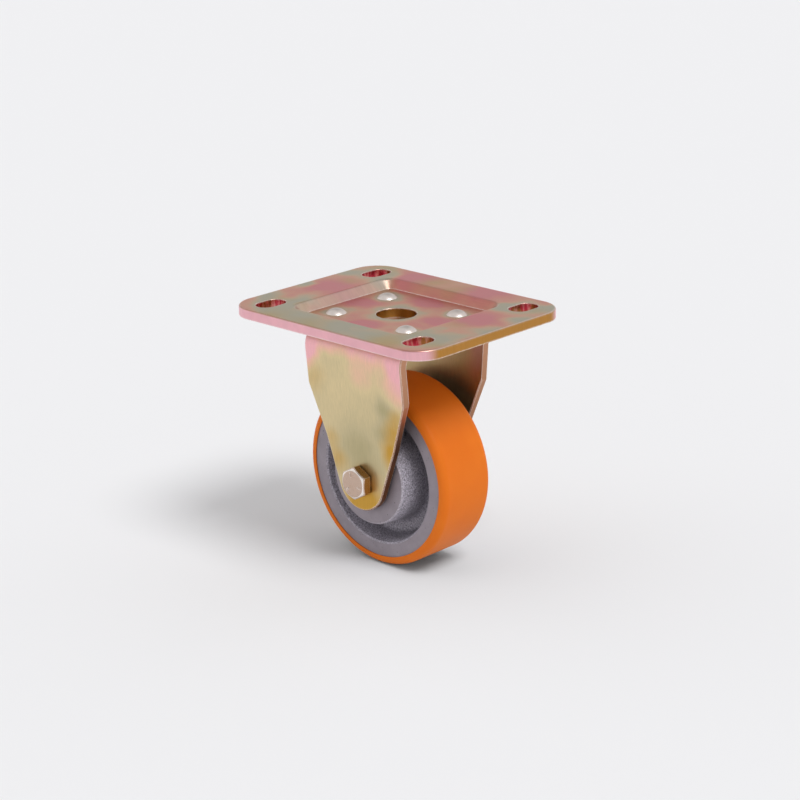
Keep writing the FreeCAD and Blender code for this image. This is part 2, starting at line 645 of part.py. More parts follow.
def make_lock_nut():
    """Make the lock nut on the right leg and the nylon ring that its collar holds."""
    collar_start = f"{LEG_FACE} + Sizes.nut_hex_height"
    collar_end = f"{LEG_FACE} + Sizes.nut_height"
    wall = "Sizes.nut_wall"
    lip = "Sizes.nut_collar / 2 - Sizes.nut_wall - Sizes.nut_lip"
    bore = "Sizes.bolt_diameter / 2 + Sizes.slip_gap"
    body = new_body("lock_nut")
    hexagon = new_sketch(body, "nut_hexagon", "YZ_Plane", LEG_FACE)
    draw_hexagon(hexagon, "Sizes.bolt_across_flats")
    pad(body, hexagon, "Sizes.nut_hex_height")
    trim_hexagon(body, "nut_back", collar_start, -1)
    collar = new_sketch(body, "nut_collar", "XZ_Plane")
    draw_polygon(collar, tube_corners(f"{collar_start} - {wall}", collar_end, bore, "Sizes.nut_collar / 2"))
    turn(body, collar)
    hollow = new_sketch(body, "nut_hollow", "XZ_Plane")
    draw_polygon(hollow, [
        (f"{LEG_FACE} - {wall}", "0"),
        (f"{collar_end} + {wall}", "0"),
        (f"{collar_end} + {wall}", lip),
        (f"{collar_end} - {wall} / 2", lip),
        (f"{collar_end} - {wall} / 2", f"Sizes.nut_collar / 2 - {wall}"),
        (f"{collar_start} - {wall} / 2", f"Sizes.nut_collar / 2 - {wall}"),
        (f"{collar_start} - {wall} / 2", bore),
        (f"{LEG_FACE} - {wall}", bore),
    ])
    turn(body, hollow, "PartDesign::Groove")
    put_on_axle(body)

    turned_piece("nut_ring", tube_corners(
        f"{collar_start} - {wall} / 2",
        f"{collar_end} - {wall} / 2",
        bore,
        f"Sizes.nut_collar / 2 - {wall}",
    ))


def make_sleeve_and_spacers():
    """Make the tube over the bolt, the spacer between the bearings and the collars beside them."""
    sleeve_bore = "Sizes.bolt_diameter / 2 + Sizes.hole_gap"
    ring_bore = "Sizes.sleeve_diameter / 2 + Sizes.slip_gap"
    outside = "Sizes.spacer_diameter / 2"
    turned_piece("axle_sleeve", tube_corners(
        f"-{LEG_INSIDE}", LEG_INSIDE, sleeve_bore, "Sizes.sleeve_diameter / 2", "Sizes.tube_chamfer"))
    turned_piece("inner_spacer", tube_corners(
        f"-{BEARING_BACK}", BEARING_BACK, ring_bore, outside, "Sizes.tube_chamfer"))
    turned_piece("left_collar", tube_corners(
        f"-{LEG_INSIDE}", f"-{BEARING_FACE}", ring_bore, outside, "Sizes.tube_chamfer"))
    turned_piece("right_collar", tube_corners(
        BEARING_FACE, LEG_INSIDE, ring_bore, outside, "Sizes.tube_chamfer"))


def make_bearing(side_name, side):
    """Build one shielded ball bearing about its own middle and seat it in the hub."""
    along = f"{side} * {BEARING_MIDDLE}"
    half = "Sizes.bearing_width / 2"
    chamfer = "Sizes.ring_chamfer"
    groove = "Sizes.ball_diameter / 2 + Sizes.running_gap"
    pitch = "Sizes.bearing_pitch / 2"
    shield_back = f"{half} - Sizes.shield_inset - Sizes.shield_sheet"
    seat = "Sizes.outer_shoulder / 2 + Sizes.shield_sheet"

    outer = turned_piece(f"{side_name}_outer_ring", [
        (f"-{half}", seat),
        (f"-({shield_back})", seat),
        (f"-({shield_back})", "Sizes.outer_shoulder / 2"),
        (shield_back, "Sizes.outer_shoulder / 2"),
        (shield_back, seat),
        (half, seat),
        (half, f"Sizes.bearing_outside / 2 - {chamfer}"),
        (f"{half} - {chamfer}", "Sizes.bearing_outside / 2"),
        (f"-{half} + {chamfer}", "Sizes.bearing_outside / 2"),
        (f"-{half}", f"Sizes.bearing_outside / 2 - {chamfer}"),
    ], along)
    inner = turned_piece(f"{side_name}_inner_ring", tube_corners(
        f"-{half}",
        half,
        "Sizes.sleeve_diameter / 2 + Sizes.slip_gap",
        "Sizes.inner_shoulder / 2",
        chamfer,
    ), along)
    for ring in (outer, inner):
        track = new_sketch(ring, f"{ring.Label}_track", "XZ_Plane")
        draw_circle(track, "0", pitch, groove)
        turn(ring, track, "PartDesign::Groove")

    for place, facing in (("outside", side), ("inside", -side)):
        face = f"{facing} * ({shield_back} + Sizes.shield_sheet)"
        back = f"{facing} * ({shield_back})"
        turned_piece(f"{side_name}_shield_{place}", [
            (back, "Sizes.inner_shoulder / 2 + Sizes.shield_gap"),
            (face, "Sizes.inner_shoulder / 2 + Sizes.shield_gap"),
            (face, seat),
            (back, seat),
        ], along)
    make_cage(f"{side_name}_cage", along)
    make_balls(f"{side_name}_balls", along)


def make_cage(name, along):
    """Make the ring that spaces the balls, with a round window for each."""
    pitch = "Sizes.bearing_pitch / 2"
    window = "Sizes.ball_diameter / 2 + 2 * Sizes.running_gap"
    body = turned_piece(name, tube_corners(
        "-Sizes.cage_width / 2",
        "Sizes.cage_width / 2",
        f"{pitch} - Sizes.cage_sheet / 2",
        f"{pitch} + Sizes.cage_sheet / 2",
    ), along)
    sketch = new_sketch(body, f"{name}_window", "XY_Plane")
    draw_circle(sketch, "0", "0", window)
    feature = cut_down(body, sketch, "Sizes.bearing_pitch", reverse=True)
    doc.recompute()
    pattern = body.newObject("PartDesign::PolarPattern", f"{name}_windows")
    pattern.Originals = [feature]
    pattern.Axis = (body.Origin.OriginFeatures[0], [""])
    pattern.Angle = 360
    pattern.setExpression("Occurrences", "Sizes.ball_count")
    body.Tip = pattern
    return body


def make_balls(name, along):
    """Set the balls round the pitch circle as one group."""
    balls = []
    for step in range(round(amount("Sizes.ball_count"))):
        turned = f"(360 * {step} / Sizes.ball_count)"
        ball = doc.addObject("Part::Sphere", f"{name}_{step + 1}")
        ball.setExpression("Radius", "Sizes.ball_diameter / 2")
        ball.setExpression(".Placement.Base.y", f"Sizes.bearing_pitch / 2 * sin({turned})")
        ball.setExpression(".Placement.Base.z", f"Sizes.bearing_pitch / 2 * cos({turned})")
        balls.append(ball)
    group = keep(doc.addObject("Part::Compound", f"{name}_group"), name)
    group.Links = balls
    put_on_axle(group, along)
    return group


def make_wheel_core():
    """Cast and turn the wheel: hub with bearing seats, thin web, rim with draft inside."""
    hub_face = "Sizes.hub_length / 2"
    hub_radius = "Sizes.hub_diameter / 2"
    hub_foot = f"({hub_radius} + Sizes.hub_draft)"
    rim_radius = "(Sizes.wheel_diameter / 2 - Sizes.tread_thickness)"
    rim_inside = f"({rim_radius} - Sizes.rim_wall)"
    rim_foot = f"({rim_inside} - Sizes.rim_draft)"
    rim_face = "Sizes.rim_width / 2"
    web_face = "Sizes.web_thickness / 2"
    edge = "Sizes.cast_edge"
    seat = "(Sizes.bearing_outside / 2 + Sizes.slip_gap)"
    shoulder = "(Sizes.bearing_outside / 2 - Sizes.bore_shoulder)"
    right_half = [
        (BEARING_BACK, shoulder),
        (BEARING_BACK, seat),
        (f"{hub_face} - {edge}", seat),
        (hub_face, f"{seat} + {edge}"),
        (hub_face, f"{hub_radius} - {edge}"),
        (f"{hub_face} - {edge}", hub_radius),
        (web_face, hub_foot),
        (web_face, rim_foot),
        (f"{rim_face} - {edge}", rim_inside),
        (rim_face, f"{rim_inside} + {edge}"),
        (rim_face, rim_radius),
    ]
    left_half = [(f"-({along})", radius) for along, radius in reversed(right_half)]
    body = turned_piece("wheel_core", right_half + left_half)
    feet = (amount(hub_foot), amount(rim_foot))
    level = amount(web_face)

    def is_web_foot(edge_here):
        curve = edge_here.Curve
        if not hasattr(curve, "Radius"):
            return False
        at_web = abs(abs(curve.Center.x) - level) < NEAR
        return at_web and min(abs(curve.Radius - foot) for foot in feet) < NEAR

    soften(body, "Sizes.web_fillet", is_web_foot)
    return body


def make_tread():
    """Cast the tread round the rim, with round shoulders."""
    half = "Sizes.tread_width / 2"
    outside = "Sizes.wheel_diameter / 2"
    inside = "(Sizes.wheel_diameter / 2 - Sizes.tread_thickness)"
    body = turned_piece("tread", tube_corners(f"-{half}", half, inside, outside))
    reach = amount(outside)

    def is_shoulder(edge):
        return hasattr(edge.Curve, "Radius") and abs(edge.Curve.Radius - reach) < NEAR

    soften(body, "Sizes.tread_edge", is_shoulder)
    return body


def check_and_export():
    """Stop on any failed object or bad shape, then write each node to its own file."""
    for item in doc.Objects:
        if "Invalid" in item.State or "Error" in item.State:
            raise RuntimeError(f"{item.Label} failed: {item.State}")
    os.makedirs("parts", exist_ok=True)
    for piece in nodes:
        if piece.Shape.isNull() or not piece.Shape.isValid():
            raise RuntimeError(f"{piece.Label} has no valid shape")
    for piece in nodes:
        piece.Shape.exportStep(f"parts/{piece.Label}.step")
        print(f"{piece.Label}: {len(piece.Shape.Solids)} solid, {piece.Shape.Volume:.1f} mm3")


fill_sheet()
make_top_plate()
make_fork()
make_rivets()
make_axle_bolt()
make_lock_nut()
make_sleeve_and_spacers()
make_wheel_core()
make_tread()
for bearing_name, bearing_side in LEFT_AND_RIGHT:
    make_bearing(bearing_name, bearing_side)
doc.recompute()
check_and_export()
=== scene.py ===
"""Looks of the fixed castor: finishes, the threaded axle bolt, floor, light and camera."""

import logging
import math
from dataclasses import dataclass, field
from enum import Enum
from typing import ClassVar

import bmesh
import bpy
from mathutils import Matrix, Vector


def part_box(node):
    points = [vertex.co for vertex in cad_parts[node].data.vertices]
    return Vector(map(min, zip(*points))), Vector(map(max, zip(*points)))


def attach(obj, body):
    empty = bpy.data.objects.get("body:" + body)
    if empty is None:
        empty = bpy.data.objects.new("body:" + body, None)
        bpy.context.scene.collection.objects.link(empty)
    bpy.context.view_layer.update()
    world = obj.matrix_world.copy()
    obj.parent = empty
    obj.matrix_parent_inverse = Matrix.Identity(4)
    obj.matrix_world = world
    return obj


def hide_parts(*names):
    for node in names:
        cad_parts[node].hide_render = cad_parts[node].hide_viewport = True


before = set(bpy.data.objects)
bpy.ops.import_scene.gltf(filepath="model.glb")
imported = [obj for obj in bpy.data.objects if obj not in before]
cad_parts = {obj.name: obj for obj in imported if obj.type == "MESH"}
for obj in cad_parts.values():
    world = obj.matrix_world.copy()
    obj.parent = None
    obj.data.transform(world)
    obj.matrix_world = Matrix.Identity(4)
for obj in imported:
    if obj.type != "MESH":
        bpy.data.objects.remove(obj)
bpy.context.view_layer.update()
LOG = logging.getLogger("fixed_castor")
MM = 0.001
PHOTO_PIXELS = 800
SENSOR_MM = 36.0
# Nearly all of a noise pattern lies between these two values.
NOISE = (0.3, 0.7)
# The chamfer on the bolt's head, in degrees from its face. The bolt's finish finds the chamfer by it.
HEAD_CHAMFER = 30.0

SMOOTH = {"interpolation_type": "SMOOTHSTEP"}
COLOURS = {"data_type": "RGBA"}

Colour = tuple[float, float, float, float]
Pair = tuple[float, float]
Ring = list[Pair]
Size = tuple[float, float, float]
Stops = tuple[tuple[float, str], ...]
Tree = bpy.types.NodeTree
Node = bpy.types.Node
Source = bpy.types.Node | bpy.types.NodeSocket | float
Sockets = dict[str | int, object]


class Side(Enum):
    """The side of the hub that a bearing sits in."""

    LEFT = "left"
    RIGHT = "right"


def linear(hex_colour: str) -> Colour:
    """Turn an sRGB hex value into a linear colour.

    Args:
        hex_colour: a value such as "#A59671".

    Returns:
        Red, green, blue and an alpha of one.
    """
    channels = [int(hex_colour[place:place + 2], 16) / 255 for place in (1, 3, 5)]
    values = [c / 12.92 if c <= 0.04045 else ((c + 0.055) / 1.055) ** 2.4 for c in channels]
    return (values[0], values[1], values[2], 1.0)


def per_mm(size: float) -> float:
    """Give the texture scale at which one cell of a pattern is size millimetres wide."""
    return 1.0 / (size * MM)


def direction(azimuth: float, elevation: float) -> Vector:
    """Give the direction from the castor to a viewer or a lamp.

    Args:
        azimuth: degrees round the castor, 0 on its -Y side and 90 on its +X side.
        elevation: degrees above the floor.

    Returns:
        A vector of length one.
    """
    around, above = math.radians(azimuth), math.radians(elevation)
    level = math.cos(above)
    return Vector((math.sin(around) * level, -math.cos(around) * level, math.sin(above)))


def add_node(
    tree: Tree,
    kind: str,
    settings: dict[str, object] | str | None = None,
    sockets: Sockets | None = None,
    stops: Stops | None = None,
) -> Node:
    """Add a node, set its properties, and fill or link its sockets.

    Args:
        tree: the node tree of a material or world.
        kind: the node's type name, without the word ShaderNode before it.
        settings: properties of the node, or the name of its operation.
        sockets: for each input, by name or place, a value, an sRGB hex value or what to link from: a
            socket, or a node for its first output in use. A pair of values fills From or To's Min and Max.
        stops: places and sRGB hex values of a colour ramp.

    Returns:
        The new node.
    """
    node = tree.nodes.new("ShaderNode" + kind)
    if isinstance(settings, str):
        settings = {"operation": settings}
    for name, value in (settings or {}).items():
        setattr(node, name, value)
    given = dict(sockets or {})
    for name in [name for name, value in given.items() if isinstance(value, tuple) and len(value) == 2]:
        given[f"{name} Min"], given[f"{name} Max"] = given.pop(name)
    for name, value in given.items():
        if isinstance(name, int):
            socket = node.inputs[name]
        else:
            socket = next(item for item in node.inputs if item.enabled and item.name == name)
        if isinstance(value, Node):
            value = next(item for item in value.outputs if item.enabled)
        if isinstance(value, bpy.types.NodeSocket):
            tree.links.new(value, socket)
        else:
            socket.default_value = linear(value) if isinstance(value, str) else value
    if stops:
        elements = node.color_ramp.elements
        while len(elements) < len(stops):
            elements.new(1.0)
        for element, (place, hex_colour) in zip(elements, stops):
            element.position = place
            element.color = linear(hex_colour)
    return node


def facing(tree: Tree, coords: Node) -> list[bpy.types.NodeSocket]:
    """Work out how squarely the surface faces along each axis, either way.

    Args:
        tree: the material's node tree.
        coords: the texture coordinates.

    Returns:
        A share from zero to one for X, for Y and for Z.
    """
    either_way = add_node(tree, "VectorMath", "ABSOLUTE", {0: coords.outputs["Normal"]})
    return list(add_node(tree, "SeparateXYZ", sockets={0: either_way}).outputs)


def drawn_out_noise(tree: Tree, coords: Node, size_mm: Size, detail: float, roughness: float) -> Source:
    """Make a noise whose cells have a size of their own along each axis.

    Args:
        tree: the material's node tree.
        coords: the texture coordinates.
        size_mm: the size of a cell along X, Y and Z.
        detail: the number of finer layers in it.
        roughness: how strong the finer layers are.

    Returns:
        The noise.
    """
    scaled = add_node(tree, "VectorMath", "MULTIPLY", {
        0: coords.outputs["Object"], 1: tuple(per_mm(size) for size in size_mm)})
    return add_node(tree, "TexNoise", sockets={
        "Vector": scaled, "Scale": 1.0, "Detail": detail, "Roughness": roughness})


class Finish:
    """A surface finish, made into one material that every piece with it shares."""

    name: str
    # Bright edges, partly film rubbed off and partly a painted highlight: how alike the rounded and the
    # true normal are where they start and where they are full, the stretch of the grain that breaks them
    # into runs, and the least and most film that a run loses.
    edge_turn: ClassVar[Pair] = (0.985, 0.93)
    run_grain: ClassVar[Pair] = (0.38, 0.62)
    run_share: ClassVar[Pair] = (0.45, 1.0)

    def material(self) -> bpy.types.Material:
        """Give this finish's material, and make it the first time.

        Returns:
            The material.
        """
        found = bpy.data.materials.get(self.name)
        if found:
            return found
        made = bpy.data.materials.new(self.name)
        made.use_nodes = True
        tree = made.node_tree
        tree.nodes.clear()
        shader = self.surface(tree)
        add_node(tree, "OutputMaterial", sockets={"Surface": shader})
        return made

    def surface(self, tree: Tree) -> Node:
        """Build the shader and what feeds it.

        Args:
            tree: the material's empty node tree.

        Returns:
            The shader node.
        """
        raise NotImplementedError

    def paint_edge_highlight_and_wear(self, tree: Tree, colour: Source, grain: Source, reach_mm: float, highlight_and_bare: str) -> Source:
        """Paint the sharp edges bright in short runs, partly as film rubbed off to bare zinc and partly as
        a painted highlight.

        Args:
            tree: the material's node tree.
            colour: the colour of the film.
            grain: the grain, which breaks the runs up.
            reach_mm: how far from the edge the bright runs go.
            highlight_and_bare: the colour of the bare metal and of the painted highlight.

        Returns:
            The colour with its bright edges, part wear and part painted highlight.
        """
        turned = add_node(tree, "Bevel", {"samples": 4}, {"Radius": reach_mm * MM})
        shape = add_node(tree, "NewGeometry")
        alike = add_node(tree, "VectorMath", "DOT_PRODUCT", {0: turned, 1: shape.outputs["Normal"]})
        edge = add_node(tree, "MapRange", sockets={"Value": alike, "From": self.edge_turn})
        runs = add_node(tree, "MapRange", sockets={
            "Value": grain, "From": self.run_grain, "To": self.run_share})
        # Painted highlight and wear: the edge mask, broken into runs, takes the bright colour.
        highlight_and_wear = add_node(tree, "Math", "MULTIPLY", {0: edge, 1: runs})
        return add_node(tree, "Mix", COLOURS, {"Factor": highlight_and_wear, "A": colour, "B": highlight_and_bare})

    def worked_skin(self, tree: Tree, pattern: Source, roughness: Pair, relief: Pair) -> Sockets:
        """Let one pattern both vary the shine and raise the skin.

        Args:
            tree: the material's node tree.
            pattern: the grain, rings or skin.
            roughness: the roughness at the pattern's low and high values.
            relief: the strength of the bump, and its height in millimetres.

        Returns:
            What goes into the shader's Roughness and Normal.
        """
        rough = add_node(tree, "MapRange", sockets={"Value": pattern, "From": NOISE, "To": roughness})
        bump = add_node(tree, "Bump", sockets={
            "Height": pattern, "Strength": relief[0], "Distance": relief[1] * MM})
        return {"Roughness": rough, "Normal": bump}

    def dress(self, piece: bpy.types.Object) -> None:
        """Give a piece this finish in place of any other."""
        piece.data.materials.clear()
        piece.data.materials.append(self.material())


@dataclass(frozen=True)
class Bloom:
    """A soft patch where the passivated film is thicker or thinner.

    The place is in the row frame and the radius is where the patch has faded out, both in millimetres.
    """

    place: Size
    radius: float
    lift: float


@dataclass(frozen=True)
class YellowPassivatedZinc(Finish):
    """Zinc plate dipped in yellow passivate: a satin metal whose film drifts from grey-green to pink.

    The film's thickness is one field over the sheet, and a ramp gives the colour of each thickness.
    """

    name: str
    film: Stops
    thickness: float
    blooms: tuple[Bloom, ...]
    gilded: tuple[Bloom, ...]
    gold: str
    side_x: str
    side_y: str
    # Rolled lines are about 0.05 mm wide. They are drawn coarser, so that they show.
    grain_mm: Size
    both_sides_alike: bool = False
    streak: float = 0.05
    drift: float = 0.14
    drift_mm: float = 17.0
    wander_mm: float = 7.0
    highlight_and_wear_mm: float = 0.6
    highlight_and_wear: str = "#F8EFE8"
    tone: Pair = (0.93, 1.06)
    roughness: Pair = (0.31, 0.43)
    relief: Pair = (0.3, 0.03)

    def surface(self, tree: Tree) -> Node:
        """Build the film's colours, the punched walls and the rolled skin."""
        coords = add_node(tree, "TexCoord")
        place = self.sheet_place(tree, coords.outputs["Object"])
        drift = add_node(tree, "TexNoise", sockets={
            "Vector": coords.outputs["Object"], "Scale": per_mm(self.drift_mm),
            "Detail": 3.0, "Roughness": 0.55})
        film = add_node(tree, "MapRange", {"clamp": False}, {
            "Value": drift, "From": NOISE,
            "To": (self.thickness - self.drift, self.thickness + self.drift)})
        film = self.add_blooms(tree, place, film, self.blooms)
        grain = drawn_out_noise(tree, coords, self.grain_mm, 4.0, 0.6)
        film = add_node(tree, "Math", "MULTIPLY_ADD", {0: grain, 1: 2 * self.streak, 2: film})
        film = add_node(tree, "Math", "SUBTRACT", {0: film, 1: self.streak})
        colour = add_node(tree, "ValToRGB", sockets={0: film}, stops=self.film)
        colour = add_node(tree, "Mix", COLOURS, {
            "Factor": self.add_blooms(tree, place, 0.0, self.gilded), "A": colour, "B": self.gold})
        colour = self.tint_walls(tree, coords, colour)
        tone = add_node(tree, "MapRange", sockets={"Value": grain, "From": NOISE, "To": self.tone})
        colour = add_node(tree, "VectorMath", "SCALE", {0: colour, "Scale": tone})
        # Edges painted bright: partly film rubbed off, partly a painted highlight.
        colour = self.paint_edge_highlight_and_wear(tree, colour, grain, self.highlight_and_wear_mm, self.highlight_and_wear)
        return add_node(tree, "BsdfPrincipled", sockets={
            "Base Color": colour, "Metallic": 1.0,
            **self.worked_skin(tree, grain, self.roughness, self.relief)})

    def sheet_place(self, tree: Tree, position: Source) -> Source:
        """Warp the position a little, so that the patches have uneven outlines.

        Args:
            tree: the material's node tree.
            position: the point in the row frame.

        Returns:
            The warped point, with both sides of the castor alike where the finish asks for it.
        """
        if self.both_sides_alike:
            split = add_node(tree, "SeparateXYZ", sockets={0: position})
            mirrored = add_node(tree, "Math", "ABSOLUTE", {0: split.outputs[0]})
            position = add_node(tree, "CombineXYZ", sockets={
                0: mirrored, 1: split.outputs[1], 2: split.outputs[2]})
        wander = add_node(tree, "TexNoise", sockets={
            "Vector": position, "Scale": per_mm(self.drift_mm), "Detail": 2.0})
        centred = add_node(tree, "VectorMath", "SUBTRACT", {
            0: wander.outputs["Color"], 1: (0.5, 0.5, 0.5)})
        return add_node(tree, "VectorMath", "MULTIPLY_ADD", {
            0: centred, 1: (2 * self.wander_mm * MM,) * 3, 2: position})

    def add_blooms(self, tree: Tree, place: Source, start: Source, blooms: tuple[Bloom, ...]) -> Source:
        """Add each patch to a field over the sheet.

        Args:
            tree: the material's node tree.
            place: the warped point in the row frame.
            start: the field before the patches.
            blooms: the patches.

        Returns:
            The field with the patches in it.
        """
        total = start
        for bloom in blooms:
            centre = tuple(value * MM for value in bloom.place)
            away = add_node(tree, "VectorMath", "DISTANCE", {0: place, 1: centre})
            patch = add_node(tree, "MapRange", SMOOTH, {
                "Value": away, "From": (0.0, bloom.radius * MM), "To": (bloom.lift, 0.0)})
            total = add_node(tree, "Math", "ADD", {0: total, 1: patch})
        return total

    def tint_walls(self, tree: Tree, coords: Node, colour: Source) -> Source:
        """Colour the sheared walls by the way they face, and the walls of slots and holes.

        Args:
            tree: the material's node tree.
            coords: the texture coordinates.
            colour: the colour of the flat sheet.

        Returns:
            The colour of sheet and walls.
        """
        raise NotImplementedError


@dataclass(frozen=True)
class PlatePassivate(YellowPassivatedZinc):
    """The film on the top plate: pink and gold outer walls, and slots crimson and brown inside.

    Round the pressed panel, the slopes along one way get a pale painted sheen, and the others a darker
    reddish tone that is the film's pink with painted shade.
    """

    hole: str = "#C03848"
    hole_brown: str = "#A0693A"
    hole_patch_mm: float = 7.0
    brown_part: Pair = (0.45, 0.6)
    slot_middle_mm: Pair = (30.0, 40.0)
    slot_reach_mm: float = 8.2
    hole_reach_mm: float = 9.0
    # Torn lines are about 0.3 mm apart. They are drawn coarser, so that they show.
    tear_mm: Size = (1.7, 1.7, 6.0)
    tear_part: Pair = (0.46, 0.8)
    tear: str = "#F2B0A6"
    # Painted sheen and painted shade for the panel's slopes, chosen by the way each slope faces.
    painted_slope_sheen: str = "#CFBCB2"
    reddish_slope_shade: str = "#A96C62"
    slope_share: float = 0.6
    # Where a face's colour starts and stops to change, by how squarely it faces up or along X.
    wall_turn: Pair = (0.25, 0.75)
    slope_turn: Pair = (0.985, 0.9)
    side_turn: Pair = (0.1, 0.6)

    def tint_walls(self, tree: Tree, coords: Node, colour: Source) -> Source:
        """Paint sheen and shade on the panel's slopes, and colour the plate's four walls, its slots and its
        centre hole.
        """
        along_x, _, up = facing(tree, coords)
        toward = add_node(tree, "MapRange", SMOOTH, {"Value": along_x, "From": self.side_turn})
        slope = add_node(tree, "MapRange", SMOOTH, {
            "Value": up, "From": self.slope_turn, "To": (0.0, self.slope_share)})
        # Painted light on the slopes: a pale painted sheen where they face along Y, a reddish painted shade
        # where they face along X.
        pressed = add_node(tree, "Mix", COLOURS, {"Factor": toward, "A": self.painted_slope_sheen, "B": self.reddish_slope_shade})
        sheet = add_node(tree, "Mix", COLOURS, {"Factor": slope, "A": colour, "B": pressed})
        wall = add_node(tree, "Mix", COLOURS, {"Factor": toward, "A": self.side_y, "B": self.side_x})
        upright = add_node(tree, "MapRange", SMOOTH, {
            "Value": up, "From": self.wall_turn, "To": (1.0, 0.0)})
        return add_node(tree, "Mix", COLOURS, {
            "Factor": upright, "A": sheet, "B": self.tint_openings(tree, coords, wall)})

    def tint_openings(self, tree: Tree, coords: Node, wall: Source) -> Source:
        """Colour the walls of the four slots and of the centre hole.

        Args:
            tree: the material's node tree.
            coords: the texture coordinates.
            wall: the colour of the outer walls.

        Returns:
            The colour of every wall.
        """
        browned = add_node(tree, "TexNoise", sockets={
            "Vector": coords.outputs["Object"], "Scale": per_mm(self.hole_patch_mm), "Detail": 1.0})
        browned = add_node(tree, "MapRange", SMOOTH, {"Value": browned, "From": self.brown_part})
        slot = add_node(tree, "Mix", COLOURS, {"Factor": browned, "A": self.hole, "B": self.hole_brown})
        torn = add_node(tree, "MapRange", sockets={
            "Value": drawn_out_noise(tree, coords, self.tear_mm, 2.0, 0.5), "From": self.tear_part})
        slot = add_node(tree, "Mix", COLOURS, {"Factor": torn, "A": slot, "B": self.tear})
        quarter = add_node(tree, "VectorMath", "ABSOLUTE", {0: coords.outputs["Object"]})
        quarter = add_node(tree, "VectorMath", "MULTIPLY", {0: quarter, 1: (1.0, 1.0, 0.0)})
        middle = (self.slot_middle_mm[0] * MM, self.slot_middle_mm[1] * MM, 0.0)
        for centre, reach, tint in ((middle, self.slot_reach_mm, slot),
                                    ((0.0, 0.0, 0.0), self.hole_reach_mm, self.side_y)):
            away = add_node(tree, "VectorMath", "DISTANCE", {0: quarter, 1: centre})
            inside = add_node(tree, "Math", "LESS_THAN", {0: away, 1: reach * MM})
            wall = add_node(tree, "Mix", COLOURS, {"Factor": inside, "A": wall, "B": tint})
        return wall


@dataclass(frozen=True)
class ForkPassivate(YellowPassivatedZinc):
    """The film on the fork, with painted shade and a painted brown reflection on the legs' inner faces, and
    tan sheared walls round them.
    """

    # Painted shade, with a painted brown reflection, on the legs' inner faces.
    inside: str = "#94703A"
    inside_shade_share: float = 0.5
    # The faces that look inwards, at least this far from the middle, are the legs' inner faces.
    inside_from_mm: float = 10.0
    bridge_level_mm: float = -20.0
    tint_levels_mm: Pair = (-60.0, -20.0)
    # Where a face's colour starts and stops to change, by how squarely it faces along Y or down.
    along_turn: Pair = (0.35, 0.75)
    down_turn: Pair = (0.2, 0.5)

    def tint_walls(self, tree: Tree, coords: Node, colour: Source) -> Source:
        """Paint shade on the inner faces, and colour the walls that face along the travel or down."""
        _, along_y, down = facing(tree, coords)
        place = add_node(tree, "SeparateXYZ", sockets={0: coords.outputs["Object"]})
        along = add_node(tree, "MapRange", SMOOTH, {"Value": along_y, "From": self.along_turn})
        down = add_node(tree, "MapRange", SMOOTH, {"Value": down, "From": self.down_turn})
        low = add_node(tree, "Math", "LESS_THAN", {0: place.outputs[2], 1: self.bridge_level_mm * MM})
        down = add_node(tree, "Math", "MULTIPLY", {0: down, 1: low})
        wall = add_node(tree, "Math", "MAXIMUM", {0: along, 1: down})
        normal = add_node(tree, "SeparateXYZ", sockets={0: coords.outputs["Normal"]})
        # Painted shade: faces that look inward toward the wheel take part of the brown inside colour.
        shaded_inner_face = add_node(tree, "Math", "MULTIPLY", {0: normal.outputs[0], 1: place.outputs[0]})
        shaded_inner_face = add_node(tree, "Math", "LESS_THAN", {0: shaded_inner_face, 1: -self.inside_from_mm * MM})
        shaded_inner_face = add_node(tree, "Math", "MULTIPLY", {0: shaded_inner_face, 1: self.inside_shade_share})
        sheet = add_node(tree, "Mix", COLOURS, {"Factor": shaded_inner_face, "A": colour, "B": self.inside})
        level = add_node(tree, "MapRange", sockets={
            "Value": place.outputs[2], "From": (self.tint_levels_mm[0] * MM, self.tint_levels_mm[1] * MM)})
        tint = add_node(tree, "Mix", COLOURS, {"Factor": level, "A": self.side_y, "B": self.side_x})
        return add_node(tree, "Mix", COLOURS, {"Factor": wall, "A": sheet, "B": tint})


